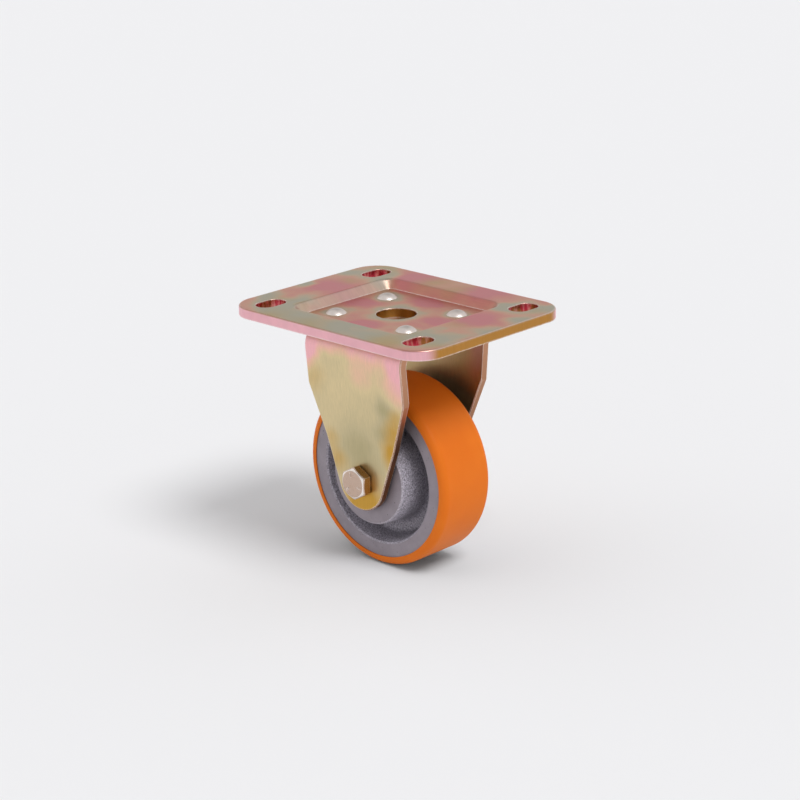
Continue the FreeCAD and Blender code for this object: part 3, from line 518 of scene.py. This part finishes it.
@dataclass(frozen=True)
class BrightZinc(Finish):
    """Bright zinc plate on headed or turned steel: a pale satin metal with a warm film in places.

    A flank colour, where there is one, is painted shade, a browner and darker colour on faces that look
    away from the axle's line, and the turned chamfer between them and the head's face then gets a painted
    highlight.
    """

    name: str
    clear: str
    warm: str
    painted_flank_shade: str = ""
    warmth: float = 0.5
    patch_mm: float = 5.0
    patch_edge: float = 0.25
    # The plate's crystals are about 0.02 mm wide. They are drawn wider, or they wouldn't show.
    grain_mm: float = 0.35
    highlight_and_wear_mm: float = 0.3
    highlight_and_wear: str = "#F6EEE8"
    flank_turn: Pair = (0.75, 0.35)
    chamfer_turn: float = 0.06
    roughness: Pair = (0.24, 0.38)
    relief: Pair = (0.3, 0.03)

    def surface(self, tree: Tree) -> Node:
        """Build the plate's pale metal with its warm patches and fine grain."""
        coords = add_node(tree, "TexCoord")
        patch = add_node(tree, "TexNoise", sockets={
            "Vector": coords.outputs["Object"], "Scale": per_mm(self.patch_mm),
            "Detail": 3.0, "Roughness": 0.6})
        # Warmth slides the edge of the patches across the noise, from none of it to nearly all.
        patch_start = 0.75 - 0.5 * self.warmth
        share = add_node(tree, "MapRange", SMOOTH, {
            "Value": patch, "From": (patch_start, patch_start + self.patch_edge)})
        colour = add_node(tree, "Mix", COLOURS, {"Factor": share, "A": self.clear, "B": self.warm})
        if self.painted_flank_shade:
            colour = self.paint_head_shade_and_highlight(tree, coords, colour)
        grain = add_node(tree, "TexNoise", sockets={
            "Vector": coords.outputs["Object"], "Scale": per_mm(self.grain_mm), "Detail": 3.0})
        # Edges painted bright: partly film rubbed off, partly a painted highlight.
        colour = self.paint_edge_highlight_and_wear(tree, colour, grain, self.highlight_and_wear_mm, self.highlight_and_wear)
        return add_node(tree, "BsdfPrincipled", sockets={
            "Base Color": colour, "Metallic": 1.0,
            **self.worked_skin(tree, grain, self.roughness, self.relief)})

    def paint_head_shade_and_highlight(self, tree: Tree, coords: Node, colour: Source) -> Source:
        """Paint shade on the flanks of a head and a painted highlight on its chamfer.

        Args:
            tree: the material's node tree.
            coords: the texture coordinates.
            colour: the colour of the head's face.

        Returns:
            The colour of face, flanks and chamfer.
        """
        along = facing(tree, coords)[0]
        # Painted shade: faces that look away from the axle's line take the darker flank colour.
        side = add_node(tree, "MapRange", SMOOTH, {"Value": along, "From": self.flank_turn})
        colour = add_node(tree, "Mix", COLOURS, {"Factor": side, "A": colour, "B": self.painted_flank_shade})
        # Painted highlight: the faces sloped like the head's chamfer take the bright edge colour.
        painted_chamfer_highlight = add_node(tree, "Math", "COMPARE", {
            0: along, 1: math.cos(math.radians(HEAD_CHAMFER)), 2: self.chamfer_turn})
        return add_node(tree, "Mix", COLOURS, {"Factor": painted_chamfer_highlight, "A": colour, "B": self.highlight_and_wear})


@dataclass(frozen=True)
class TurnedSteel(Finish):
    """Bare turned or ground steel: a clean grey metal with fine rings left by the tool."""

    name: str
    colour: str
    # Real rings are about 0.1 mm apart or finer. They are drawn coarser, so that they show.
    ring_mm: float = 0.25
    roughness: Pair = (0.17, 0.34)
    relief: Pair = (0.25, 0.02)

    def surface(self, tree: Tree) -> Node:
        """Build the steel with tool rings about the axle."""
        coords = add_node(tree, "TexCoord")
        low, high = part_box("tread")
        axle = (0.0, (low.y + high.y) / 2, (low.z + high.z) / 2)
        about = add_node(tree, "VectorMath", "SUBTRACT", {0: coords.outputs["Object"], 1: axle})
        flat = add_node(tree, "VectorMath", "MULTIPLY", {0: about, 1: (0.0, 1.0, 1.0)})
        radius = add_node(tree, "VectorMath", "LENGTH", {0: flat})
        split = add_node(tree, "SeparateXYZ", sockets={0: about})
        spot = add_node(tree, "CombineXYZ", sockets={0: split.outputs[0], 1: radius, 2: 0.0})
        rings = add_node(tree, "TexNoise", sockets={
            "Vector": spot, "Scale": per_mm(self.ring_mm), "Detail": 2.0})
        return add_node(tree, "BsdfPrincipled", sockets={
            "Base Color": self.colour, "Metallic": 1.0,
            **self.worked_skin(tree, rings, self.roughness, self.relief)})


@dataclass(frozen=True)
class GreyCastIron(Finish):
    """Grey cast iron: a rough sand skin with painted shade in its corners, and turned faces with small
    pits.
    """

    name: str
    turned: str
    skin: str
    pit: str
    turned_reach_mm: float = 12.7
    turned_turn: Pair = (0.6, 0.85)
    # The mould's sand is 0.2 to 0.3 mm. Its print is drawn at twice that, or it wouldn't show.
    sand_mm: float = 0.6
    sand_part: Pair = (0.36, 0.66)
    # The brightest specks, up to 1.85 times the skin's colour, are painted glints; the darker ones are the
    # sand's random tone.
    speckle_and_glints: Pair = (0.42, 1.85)
    lump_mm: float = 5.0
    lump_weight: float = 1.5
    shade: Pair = (0.92, 1.07)
    pit_mm: float = 1.8
    pit_edge: Pair = (0.08, 0.2)
    pits_where: Pair = (0.5, 0.6)
    # Painted shade: ambient occlusion within corner_mm darkens the colour down to corner_shade of itself in
    # corners and deep in the web.
    corner_mm: float = 11.0
    corner_part: Pair = (0.3, 0.8)
    corner_shade: float = 0.5
    metallic: float = 0.25
    # Each pair is for the sand skin and the turned faces.
    roughness: Pair = (0.42, 0.5)
    relief: Pair = (0.9, 0.12)
    relief_mm: float = 0.25

    def surface(self, tree: Tree) -> Node:
        """Build the sand-cast skin and mix in the turned faces."""
        coords = add_node(tree, "TexCoord")
        turned = self.turned_share(tree, coords)
        sand = add_node(tree, "TexNoise", sockets={
            "Vector": coords.outputs["Object"], "Scale": per_mm(self.sand_mm), "Detail": 5.0,
            "Roughness": 0.7})
        lumps = add_node(tree, "TexNoise", sockets={
            "Vector": coords.outputs["Object"], "Scale": per_mm(self.lump_mm), "Detail": 2.0})
        # Random sand tone, with painted glints at its bright end.
        speckle_and_glints = add_node(tree, "MapRange", sockets={
            "Value": sand, "From": self.sand_part, "To": self.speckle_and_glints})
        skin = add_node(tree, "VectorMath", "SCALE", {0: linear(self.skin)[:3], "Scale": speckle_and_glints})
        colour = add_node(tree, "Mix", COLOURS, {
            "Factor": turned, "A": skin, "B": self.turned_face(tree, coords, sand, lumps)})
        # Painted shade in the corners and the deep web.
        corner = add_node(tree, "AmbientOcclusion", {"samples": 6}, {"Distance": self.corner_mm * MM})
        painted_corner_shade = add_node(tree, "MapRange", sockets={
            "Value": corner.outputs["AO"], "From": self.corner_part, "To": (self.corner_shade, 1.0)})
        colour = add_node(tree, "VectorMath", "SCALE", {0: colour, "Scale": painted_corner_shade})
        rough = add_node(tree, "MapRange", sockets={"Value": turned, "To": self.roughness})
        height = add_node(tree, "Math", "MULTIPLY_ADD", {0: lumps, 1: self.lump_weight, 2: sand})
        depth = add_node(tree, "MapRange", sockets={"Value": turned, "To": self.relief})
        bump = add_node(tree, "Bump", sockets={
            "Height": height, "Strength": depth, "Distance": self.relief_mm * MM})
        return add_node(tree, "BsdfPrincipled", sockets={
            "Base Color": colour, "Metallic": self.metallic, "Roughness": rough, "Normal": bump})

    def turned_share(self, tree: Tree, coords: Node) -> Source:
        """Find the faces that the lathe has cut: flat ones at the ends of hub and rim.

        Args:
            tree: the material's node tree.
            coords: the texture coordinates.

        Returns:
            One on the turned faces and zero on the sand skin.
        """
        place = add_node(tree, "VectorMath", "ABSOLUTE", {0: coords.outputs["Object"]})
        place = add_node(tree, "SeparateXYZ", sockets={0: place})
        outside = add_node(tree, "Math", "GREATER_THAN", {
            0: place.outputs[0], 1: self.turned_reach_mm * MM})
        flat = add_node(tree, "MapRange", SMOOTH, {
            "Value": facing(tree, coords)[0], "From": self.turned_turn})
        return add_node(tree, "Math", "MULTIPLY", {0: outside, 1: flat})

    def turned_face(self, tree: Tree, coords: Node, sand: Source, lumps: Source) -> Source:
        """Colour the turned faces, a little uneven and with a pit here and there.

        Args:
            tree: the material's node tree.
            coords: the texture coordinates.
            sand: the fine pattern, which says where there are pits.
            lumps: the coarse pattern, which varies the shade.

        Returns:
            The colour of the turned faces.
        """
        shade = add_node(tree, "MapRange", sockets={"Value": lumps, "From": NOISE, "To": self.shade})
        face = add_node(tree, "VectorMath", "SCALE", {0: linear(self.turned)[:3], "Scale": shade})
        pits = add_node(tree, "TexVoronoi", sockets={
            "Vector": coords.outputs["Object"], "Scale": per_mm(self.pit_mm)})
        pitted = add_node(tree, "MapRange", SMOOTH, {
            "Value": pits, "From": self.pit_edge, "To": (1.0, 0.0)})
        sparse = add_node(tree, "MapRange", sockets={"Value": sand, "From": self.pits_where})
        pitted = add_node(tree, "Math", "MULTIPLY", {0: pitted, 1: sparse})
        return add_node(tree, "Mix", COLOURS, {"Factor": pitted, "A": face, "B": self.pit})


@dataclass(frozen=True)
class CastPolyurethane(Finish):
    """Cast polyurethane tread: a dense satin orange that lets a little light under its skin.

    The thrown colour is what it casts on the floor and the iron, which the picture shows as a dull brown.
    """

    name: str
    colour: str
    deep: str
    thrown: str = "#6E5A52"
    cloud_mm: float = 14.0
    # The mould leaves a skin about 0.05 mm fine. It is drawn coarser, or it wouldn't show.
    skin_mm: float = 0.35
    roughness: Pair = (0.42, 0.54)
    relief: Pair = (0.18, 0.03)
    gloss: float = 0.14
    glow: float = 0.12
    glow_mm: float = 2.0
    glow_spread: Size = (1.0, 0.35, 0.1)

    def surface(self, tree: Tree) -> Node:
        """Build the clouded orange and its moulded skin."""
        coords = add_node(tree, "TexCoord")
        cloud = add_node(tree, "TexNoise", sockets={
            "Vector": coords.outputs["Object"], "Scale": per_mm(self.cloud_mm), "Detail": 2.0})
        colour = add_node(tree, "Mix", COLOURS, {"Factor": cloud, "A": self.colour, "B": self.deep})
        path = add_node(tree, "LightPath")
        colour = add_node(tree, "Mix", COLOURS, {
            "Factor": path.outputs["Is Diffuse Ray"], "A": colour, "B": self.thrown})
        skin = add_node(tree, "TexNoise", sockets={
            "Vector": coords.outputs["Object"], "Scale": per_mm(self.skin_mm), "Detail": 2.0})
        return add_node(tree, "BsdfPrincipled", sockets={
            "Base Color": colour, "Specular IOR Level": self.gloss,
            "Subsurface Weight": self.glow, "Subsurface Radius": self.glow_spread,
            "Subsurface Scale": self.glow_mm * MM,
            **self.worked_skin(tree, skin, self.roughness, self.relief)})


@dataclass(frozen=True)
class MouldedNylon(Finish):
    """Moulded nylon: a milky off-white with a soft shine."""

    name: str
    colour: str
    # The skin of the mould is drawn coarser than its 0.05 mm, or it wouldn't show.
    skin_mm: float = 0.4
    roughness: float = 0.4
    refraction: float = 1.53
    relief: Pair = (0.2, 0.03)
    glow: float = 0.2
    glow_mm: float = 1.0
    glow_spread: Size = (1.0, 0.9, 0.8)

    def surface(self, tree: Tree) -> Node:
        """Build the milky plastic and its faint skin."""
        coords = add_node(tree, "TexCoord")
        skin = add_node(tree, "TexNoise", sockets={
            "Vector": coords.outputs["Object"], "Scale": per_mm(self.skin_mm)})
        bump = add_node(tree, "Bump", sockets={
            "Height": skin, "Strength": self.relief[0], "Distance": self.relief[1] * MM})
        return add_node(tree, "BsdfPrincipled", sockets={
            "Base Color": self.colour, "Roughness": self.roughness, "IOR": self.refraction,
            "Subsurface Weight": self.glow, "Subsurface Radius": self.glow_spread,
            "Subsurface Scale": self.glow_mm * MM, "Normal": bump})


def ring_of(centres: tuple[Size, ...], radius: float, lift: float) -> tuple[Bloom, ...]:
    """Give one like patch at each of several places."""
    return tuple(Bloom(centre, radius, lift) for centre in centres)


# Pressed sheet steel in yellow passivate: a satin sheen clouded with grey-green, gold and pink.
# The film stays thin and grey-green round slots, rivets and the centre hole, and turns pink on open sheet.
# The grain runs across the plate. Places are in millimetres in the row frame.
PLATE = PlatePassivate(
    name="yellow_passivated_plate",
    film=((0.0, "#BDB6A0"), (0.3, "#CDB79A"), (0.55, "#DEA98E"), (0.8, "#DD9286"), (1.0, "#DB868A")),
    thickness=0.66,
    highlight_and_wear_mm=0.85,
    grain_mm=(0.4, 7.0, 7.0),
    blooms=(
        *ring_of(((-30, -40, 0), (-30, 40, 0), (30, -40, 0), (30, 40, 0)), 14, -0.9),
        *ring_of(((-14.5, -19, -3.4), (-14.5, 19, -3.4), (14.5, -19, -3.4), (14.5, 19, -3.4)), 9, -1.0),
        Bloom((0, 0, -3.4), 15, -1.3),
        *ring_of(((-37, -22, 0), (-36, -4, 0), (-37, 14, 0), (-34, 30, 0)), 16, -0.8),
        *ring_of(((-22, 50, 0), (0, 53, 0), (24, 53, 0)), 10, -0.8),
        *ring_of(((-22, -46, 0), (-4, -52, 0), (16, -53, 0), (36, -50, 0)), 12, -0.8),
        *ring_of(((-20, -34, 0), (25, -32, 0), (-27, -12, 0), (22, 30, 0), (-18, 36, 0)), 9, -0.7),
        *ring_of(((2, 21, -3.4), (-20, 0, -3.4), (0, -20, -3.4), (20, 2, -3.4)), 11, 0.7),
        *ring_of(((3, 40, 0), (33, 20, 0), (37, -14, 0), (5, -38, 0)), 16, 0.6),
    ),
    gilded=(
        Bloom((-41, 28, 0), 13, 0.7),
        Bloom((-41, 8, 0), 14, 0.6),
        Bloom((-30, -48, 0), 8, 0.5),
        Bloom((30, -47, 0), 8, 0.4),
        Bloom((-23, -31, 0), 7, 0.4),
        Bloom((-39, -32, 0), 14, 0.8),
        Bloom((-22, 27, 0), 8, 0.9),
        Bloom((33, 12, 0), 12, 0.7),
        Bloom((32, -4, 0), 10, 0.6),
        Bloom((37, 42, 0), 12, 0.5),
        Bloom((-22, 43, 0), 8, 0.4),
        Bloom((14, 40, 0), 9, 0.5),
        Bloom((-6, -36, 0), 9, 0.4),
    ),
    gold="#C6AA6E",
    side_x="#EBB4BC",
    side_y="#B8843F",
)
# Bent sheet steel in the same film: legs that go from pink at the bend through straw to gold at the foot.
FORK = ForkPassivate(
    name="yellow_passivated_fork",
    film=((0.0, "#AEA37C"), (0.3, "#C9BB94"), (0.55, "#DDCA9E"), (0.78, "#EEC2A8"), (1.0, "#F5B9BE")),
    thickness=0.48,
    drift=0.05,
    streak=0.03,
    wander_mm=4.0,
    grain_mm=(0.45, 0.45, 9.0),
    both_sides_alike=True,
    blooms=(
        *ring_of(((26, 24, -11), (26, 12, -9), (26, 0, -9), (26, -12, -10), (26, -24, -12)), 11, 0.6),
        Bloom((25, -25, -22), 15, 0.5),
        Bloom((25, 27, -17), 11, 0.6),
        Bloom((25, -4, -20), 14, 0.25),
        Bloom((23, -15.5, -34), 8, -0.4),
        Bloom((23, -14.5, -44), 8, -0.3),
        Bloom((23, 0, -56), 22, -0.4),
    ),
    gilded=(
        Bloom((25, 22, -28), 9, 0.3),
        Bloom((24, -21, -36), 6, 0.6),
        Bloom((23, -19.5, -43), 8, 0.9),
        Bloom((23, -17, -50), 7, 0.8),
        Bloom((22, -17, -55), 7, 0.8),
        Bloom((22, 16, -52), 8, 0.45),
        Bloom((22, 13, -61), 8, 0.6),
        Bloom((22, -2, -77), 18, 1.5),
    ),
    gold="#C99C44",
    side_x="#BE8C6E",
    side_y="#94633F",
)
# Headed steel in bright zinc: pale, almost white domes.
RIVET = BrightZinc(
    name="bright_zinc_rivet", clear="#E2D8D2", warm="#C2A593", warmth=0.3, roughness=(0.34, 0.48))
# Headed and rolled steel in bright zinc: a pinkish face, flanks in a brown painted shade and a painted
# highlight on the chamfer.
BOLT = BrightZinc(
    name="bright_zinc_bolt", clear="#C8AF9E", warm="#AF8B73", painted_flank_shade="#B48A5C", warmth=0.45, highlight_and_wear_mm=0.5)
NUT = BrightZinc(name="bright_zinc_nut", clear="#D6CFC6", warm="#BFA98A", warmth=0.4)
# Lapped, ground, turned and pressed steel: bare greys, each duller and rougher than the one before.
BALL = TurnedSteel(name="polished_ball_steel", colour="#DCDDDF", ring_mm=0.4, roughness=(0.02, 0.19))
RING = TurnedSteel(name="ground_bearing_steel", colour="#C9CACC", ring_mm=0.12, roughness=(0.09, 0.26))
SLEEVE = TurnedSteel(name="turned_steel", colour="#B4B2AE")
PRESSED = TurnedSteel(name="pressed_shield_steel", colour="#A3A4A7", ring_mm=0.3, roughness=(0.23, 0.4))
# Sand-cast iron: violet-grey, smooth and even where it is turned, rough and speckled in the web, with
# painted glints among the specks and painted shade in its corners.
IRON = GreyCastIron(name="grey_cast_iron", turned="#968D95", skin="#B6B0BB", pit="#4B464C")
# Cast polyurethane: a deep even orange with a soft sheen and no sharp highlight.
TREAD = CastPolyurethane(name="orange_polyurethane", colour="#E7791D", deep="#DE6E16")
NYLON = MouldedNylon(name="natural_nylon", colour="#E6E3D8")


@dataclass
class PhotoCamera:
    """The photograph's viewpoint, found by fitting the plate, slots, rivets and wheel to it.

    The castor's origin lies right and up of the middle of the view, in millimetres, at a distance
    along the line of sight.
    """

    azimuth: float = -46.14
    elevation: float = 18.26
    roll: float = -1.0
    focal_pixels: float = 2241.6
    origin_right_mm: float = -1.48
    origin_up_mm: float = 37.26
    distance_mm: float = 881.1
    nearest_m: float = 0.01

    def build(self) -> bpy.types.Object:
        """Place the camera.

        Returns:
            The camera, set as the scene's own.
        """
        back = direction(self.azimuth, self.elevation)
        right = Vector((0, 0, 1)).cross(back).normalized()
        up = back.cross(right)
        lean = math.radians(self.roll)
        leaning_right = math.cos(lean) * right + math.sin(lean) * up
        leaning_up = math.cos(lean) * up - math.sin(lean) * right
        aside = self.origin_right_mm * leaning_right + self.origin_up_mm * leaning_up
        place = (self.distance_mm * back - aside) * MM
        data = bpy.data.cameras.new("photo_camera")
        data.sensor_width = SENSOR_MM
        data.lens = self.focal_pixels / PHOTO_PIXELS * SENSOR_MM
        data.clip_start = self.nearest_m
        camera = bpy.data.objects.new("photo_camera", data)
        turned = Matrix((leaning_right, leaning_up, back)).transposed()
        camera.matrix_world = Matrix.Translation(place) @ turned.to_4x4()
        bpy.context.scene.collection.objects.link(camera)
        bpy.context.scene.camera = camera
        return camera


@dataclass(frozen=True)
class Lamp:
    """A wide lamp far off, placed by its direction from the castor, in degrees as for the camera."""

    name: str
    azimuth: float
    elevation: float
    strength: float
    width: float


@dataclass
class Studio:
    """A pale floor, a sky that is brighter low down, and soft lamps to the right and the left.

    The floor's half width is in metres. The sky is dimmest where a direction's height is sky_top.
    """

    floor_half_width: float = 6.0
    floor_colour: str = "#F0F0F2"
    low_sky: float = 0.88
    high_sky: float = 0.2
    sky_top: float = 0.85
    lamps: tuple[Lamp, ...] = (
        Lamp("right_lamp", -6.0, 56.0, 1.6, 24.0),
        Lamp("back_lamp", -150.0, 58.0, 0.62, 75.0),
        Lamp("side_lamp", 76.0, 45.0, 0.3, 60.0),
    )

    def build(self) -> None:
        """Lay the floor, light the sky and hang the lamps."""
        self.lay_floor()
        self.light_sky()
        for lamp in self.lamps:
            self.hang(lamp)
        bpy.context.scene.view_settings.view_transform = "Standard"

    def lay_floor(self) -> None:
        """Lay a plain floor at the wheel's lowest point."""
        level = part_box("tread")[0].z
        mesh = bpy.data.meshes.new("floor")
        half = self.floor_half_width
        corners = [(-half, -half, level), (half, -half, level), (half, half, level), (-half, half, level)]
        mesh.from_pydata(corners, [], [(0, 1, 2, 3)])
        floor = bpy.data.objects.new("floor", mesh)
        bpy.context.scene.collection.objects.link(floor)
        material = bpy.data.materials.new("pale_floor")
        material.use_nodes = True
        tree = material.node_tree
        tree.nodes.clear()
        matt = add_node(tree, "BsdfDiffuse", sockets={"Color": self.floor_colour})
        add_node(tree, "OutputMaterial", sockets={"Surface": matt})
        mesh.materials.append(material)

    def light_sky(self) -> None:
        """Make the world a pale sky whose strength falls with height."""
        world = bpy.data.worlds.new("soft_sky")
        world.use_nodes = True
        tree = world.node_tree
        tree.nodes.clear()
        coords = add_node(tree, "TexCoord")
        split = add_node(tree, "SeparateXYZ", sockets={0: coords.outputs["Generated"]})
        strength = add_node(tree, "MapRange", SMOOTH, {
            "Value": split.outputs[2], "From": (0.0, self.sky_top), "To": (self.low_sky, self.high_sky)})
        sky = add_node(tree, "Background", sockets={"Color": (1.0, 1.0, 1.0, 1.0), "Strength": strength})
        add_node(tree, "OutputWorld", sockets={"Surface": sky})
        bpy.context.scene.world = world

    def hang(self, lamp: Lamp) -> None:
        """Hang one lamp."""
        data = bpy.data.lights.new(lamp.name, "SUN")
        data.energy = lamp.strength
        data.angle = math.radians(lamp.width)
        hung = bpy.data.objects.new(lamp.name, data)
        toward = direction(lamp.azimuth, lamp.elevation)
        hung.matrix_world = Matrix.Translation(toward) @ toward.to_track_quat("Z", "Y").to_matrix().to_4x4()
        bpy.context.scene.collection.objects.link(hung)


@dataclass
class AxleBolt:
    """The hexagon-head bolt, with a chamfered head, three raised ticks and a rolled thread.

    Lengths are in millimetres. The head, the shank and the ends lie where the plain bolt has them.
    The washer face has its width and height, and a tick its height, length and width. The land has
    two rings more, at shares of its radius.
    """

    head_height: float = 4.8
    land: float = 10.5
    land_rings: Pair = (0.35, 0.7)
    washer_face: Pair = (11.0, 0.4)
    shank: float = 8.0
    pitch: float = 1.25
    thread_length: float = 22.0
    thread_depth: float = 0.68
    flank_slope: float = 2.4
    crest: float = 0.15
    run_out: float = 1.6
    point: float = 1.0
    edge: float = 0.18
    corner_wear: float = 0.12
    ticks: int = 3
    first_tick: float = 75.0
    tick: Size = (0.25, 2.0, 0.6)
    tick_radius: float = 3.7
    tick_rounding: float = 0.6
    around: int = 96
    rings_per_pitch: int = 10
    sharp_from: float = 28.0
    finish: Finish = BOLT
    middle: Vector = field(init=False)
    half_flats: float = field(init=False)
    face: float = field(init=False)
    under_head: float = field(init=False)
    tip: float = field(init=False)

    def __post_init__(self) -> None:
        """Take the axis, the width across flats and both ends from the plain bolt."""
        low, high = (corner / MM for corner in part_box("axle_bolt"))
        self.middle = Vector((0, (low.y + high.y) / 2, (low.z + high.z) / 2))
        self.half_flats = (high.y - low.y) / 2
        self.face = low.x + self.tick[0]
        self.under_head = low.x + self.head_height
        self.tip = high.x

    def build(self) -> bpy.types.Object:
        """Make the bolt where the plain one lies.

        Returns:
            The bolt, which stands for the plain one.
        """
        mesh = bmesh.new()
        self.skin(mesh, self.head_rings() + self.shank_rings())
        for step in range(self.ticks):
            self.add_tick(mesh, math.radians(self.first_tick + 360 * step / self.ticks))
        bmesh.ops.recalc_face_normals(mesh, faces=mesh.faces)
        data = bpy.data.meshes.new("hexagon_axle_bolt")
        mesh.to_mesh(data)
        mesh.free()
        data.shade_smooth()
        data.set_sharp_from_angle(angle=math.radians(self.sharp_from))
        piece = bpy.data.objects.new("hexagon_axle_bolt", data)
        bpy.context.scene.collection.objects.link(piece)
        self.finish.dress(piece)
        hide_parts("axle_bolt")
        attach(piece, "bracket")
        return piece

    def hexagon(self, angle: float) -> float:
        """Give the head's radius in a direction, with its corners a little worn."""
        off_flat = (angle + math.pi / 6) % (math.pi / 3) - math.pi / 6
        corner = self.half_flats / math.cos(math.pi / 6)
        return min(self.half_flats / math.cos(off_flat), corner - self.corner_wear)

    def head_rings(self) -> list[Ring]:
        """Outline the head as rings of (station, radius), from the face to the shank."""
        slope = math.tan(math.radians(HEAD_CHAMFER))
        angles = [2 * math.pi * step / self.around for step in range(self.around)]
        land = self.land / 2
        washer = self.washer_face[0] / 2
        back = self.under_head - self.washer_face[1]
        radii = [self.hexagon(angle) for angle in angles]
        chamfer = [self.face + (radius - land) * slope for radius in radii]
        return [
            [(self.face, land * share) for _ in angles] for share in self.land_rings
        ] + [
            [(self.face, land - self.edge) for _ in angles],
            [(self.face + self.edge * slope / 2, land + self.edge / 2) for _ in angles],
            [(start - self.edge * slope, radius - self.edge) for start, radius in zip(chamfer, radii)],
            [(start + self.edge * slope, radius) for start, radius in zip(chamfer, radii)],
            [(back - self.edge, radius) for radius in radii],
            [(back, radius - self.edge) for radius in radii],
            [(back, washer) for _ in angles],
            [(self.under_head, washer) for _ in angles],
        ]

    def shank_rings(self) -> list[Ring]:
        """Outline the shank and its thread as rings of (station, radius)."""
        start = self.tip - self.thread_length
        plain = [[(station, self.shank / 2)] * self.around for station in (self.under_head, start)]
        count = round(self.thread_length / self.pitch * self.rings_per_pitch)
        stations = [start + self.thread_length * step / count for step in range(1, count + 1)]
        return plain + [
            [(station, self.thread_radius(station, turn / self.around)) for turn in range(self.around)]
            for station in stations
        ]

    def thread_radius(self, station: float, turn: float) -> float:
        """Give the thread's radius at a station and at a share of a turn."""
        start = self.tip - self.thread_length
        phase = ((station - start) / self.pitch - turn) % 1.0
        groove = min(max(self.flank_slope * min(phase, 1 - phase) - self.crest, 0.0), 1.0)
        fade = min((station - start) / self.run_out, 1.0)
        radius = self.shank / 2 - self.thread_depth * groove * fade
        return min(radius, self.shank / 2 - self.point + (self.tip - station))

    def skin(self, mesh: bmesh.types.BMesh, rings: list[Ring]) -> None:
        """Cover the rings with faces and close both ends.

        Args:
            mesh: the mesh that gets the faces.
            rings: the rings, each with a (station, radius) for every step round the axis.
        """
        rows = [
            [mesh.verts.new(self.spot(station, radius, 2 * math.pi * step / self.around))
             for step, (station, radius) in enumerate(ring)]
            for ring in rings
        ]
        for first, second in zip(rows, rows[1:]):
            for step in range(self.around):
                after = (step + 1) % self.around
                mesh.faces.new((first[step], first[after], second[after], second[step]))
        for row, station in ((rows[0], rings[0][0][0]), (rows[-1], rings[-1][0][0])):
            hub = mesh.verts.new(self.spot(station, 0.0, 0.0))
            for step in range(self.around):
                mesh.faces.new((hub, row[step], row[(step + 1) % self.around]))

    def spot(self, station: float, radius: float, angle: float) -> Vector:
        """Give a point in metres from its station along the axle, radius and angle."""
        offset = Vector((station, radius * math.cos(angle), radius * math.sin(angle)))
        return (self.middle + offset) * MM

    def add_tick(self, mesh: bmesh.types.BMesh, angle: float) -> None:
        """Raise one radial tick on the face, its top level with the plain bolt's face."""
        height, length, width = self.tick
        size = Matrix.Diagonal(Vector((2 * height, length, width, 1.0)))
        place = Matrix.Translation(Vector((self.face, self.tick_radius, 0)))
        spin = Matrix.Rotation(angle, 4, "X")
        home = Matrix.Translation(self.middle)
        matrix = Matrix.Scale(MM, 4) @ home @ spin @ place @ size
        grown = bmesh.ops.create_cube(mesh, size=1.0, matrix=matrix)
        edges = {edge for vert in grown["verts"] for edge in vert.link_edges}
        rounding = height * self.tick_rounding * MM
        bmesh.ops.bevel(mesh, geom=list(edges), offset=rounding, segments=2, affect="EDGES")


@dataclass
class SubAssembly:
    """Solids of the castor that share a job, each with its finish."""

    solids: dict[str, Finish]

    def build(self) -> None:
        """Dress each solid with its finish and report it."""
        for name, finish in self.solids.items():
            finish.dress(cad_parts[name])
            LOG.info("%s: %s", name, finish.name)


@dataclass
class Bracket(SubAssembly):
    """The slotted top plate, the bent fork below it and the four rivets that join them."""

    solids: dict[str, Finish] = field(default_factory=lambda: {
        "top_plate": PLATE,
        "fork": FORK,
        **{f"rivet_{place}": RIVET for place in ("rear_left", "front_left", "rear_right", "front_right")},
    })


@dataclass
class Axle(SubAssembly):
    """The fixed parts on the axle: the bolt, its lock nut, the sleeve, the spacer and the collars."""

    bolt: AxleBolt = field(default_factory=AxleBolt)
    solids: dict[str, Finish] = field(default_factory=lambda: {
        "lock_nut": NUT,
        "nut_ring": NYLON,
        **{name: SLEEVE for name in ("axle_sleeve", "inner_spacer", "left_collar", "right_collar")},
    })

    def build(self) -> None:
        """Make the threaded bolt and dress the rest."""
        LOG.info("%s: %s", self.bolt.build().name, self.bolt.finish.name)
        super().build()


@dataclass
class BallBearing(SubAssembly):
    """One shielded ball bearing in the wheel's hub."""

    side: Side = Side.LEFT
    solids: dict[str, Finish] = field(default_factory=dict)

    def __post_init__(self) -> None:
        """Name the bearing's solids by its side."""
        finishes = {
            "outer_ring": RING, "inner_ring": RING, "balls": BALL,
            "cage": PRESSED, "shield_outside": PRESSED, "shield_inside": PRESSED,
        }
        self.solids = {f"{self.side.value}_{piece}": finish for piece, finish in finishes.items()}


@dataclass
class Wheel(SubAssembly):
    """The cast-iron wheel body and the tread cast round it."""

    solids: dict[str, Finish] = field(default_factory=lambda: {"wheel_core": IRON, "tread": TREAD})


def main() -> None:
    """Build the castor's sub-assemblies, light it and look at it from the photograph's place."""
    logging.basicConfig(level=logging.INFO, format="%(message)s")
    for part in (Bracket(), Axle(), BallBearing(side=Side.LEFT), BallBearing(side=Side.RIGHT), Wheel()):
        part.build()
    LOG.info("%s is placed", PhotoCamera().build().name)
    Studio().build()


if __name__ == "__main__":
    main()
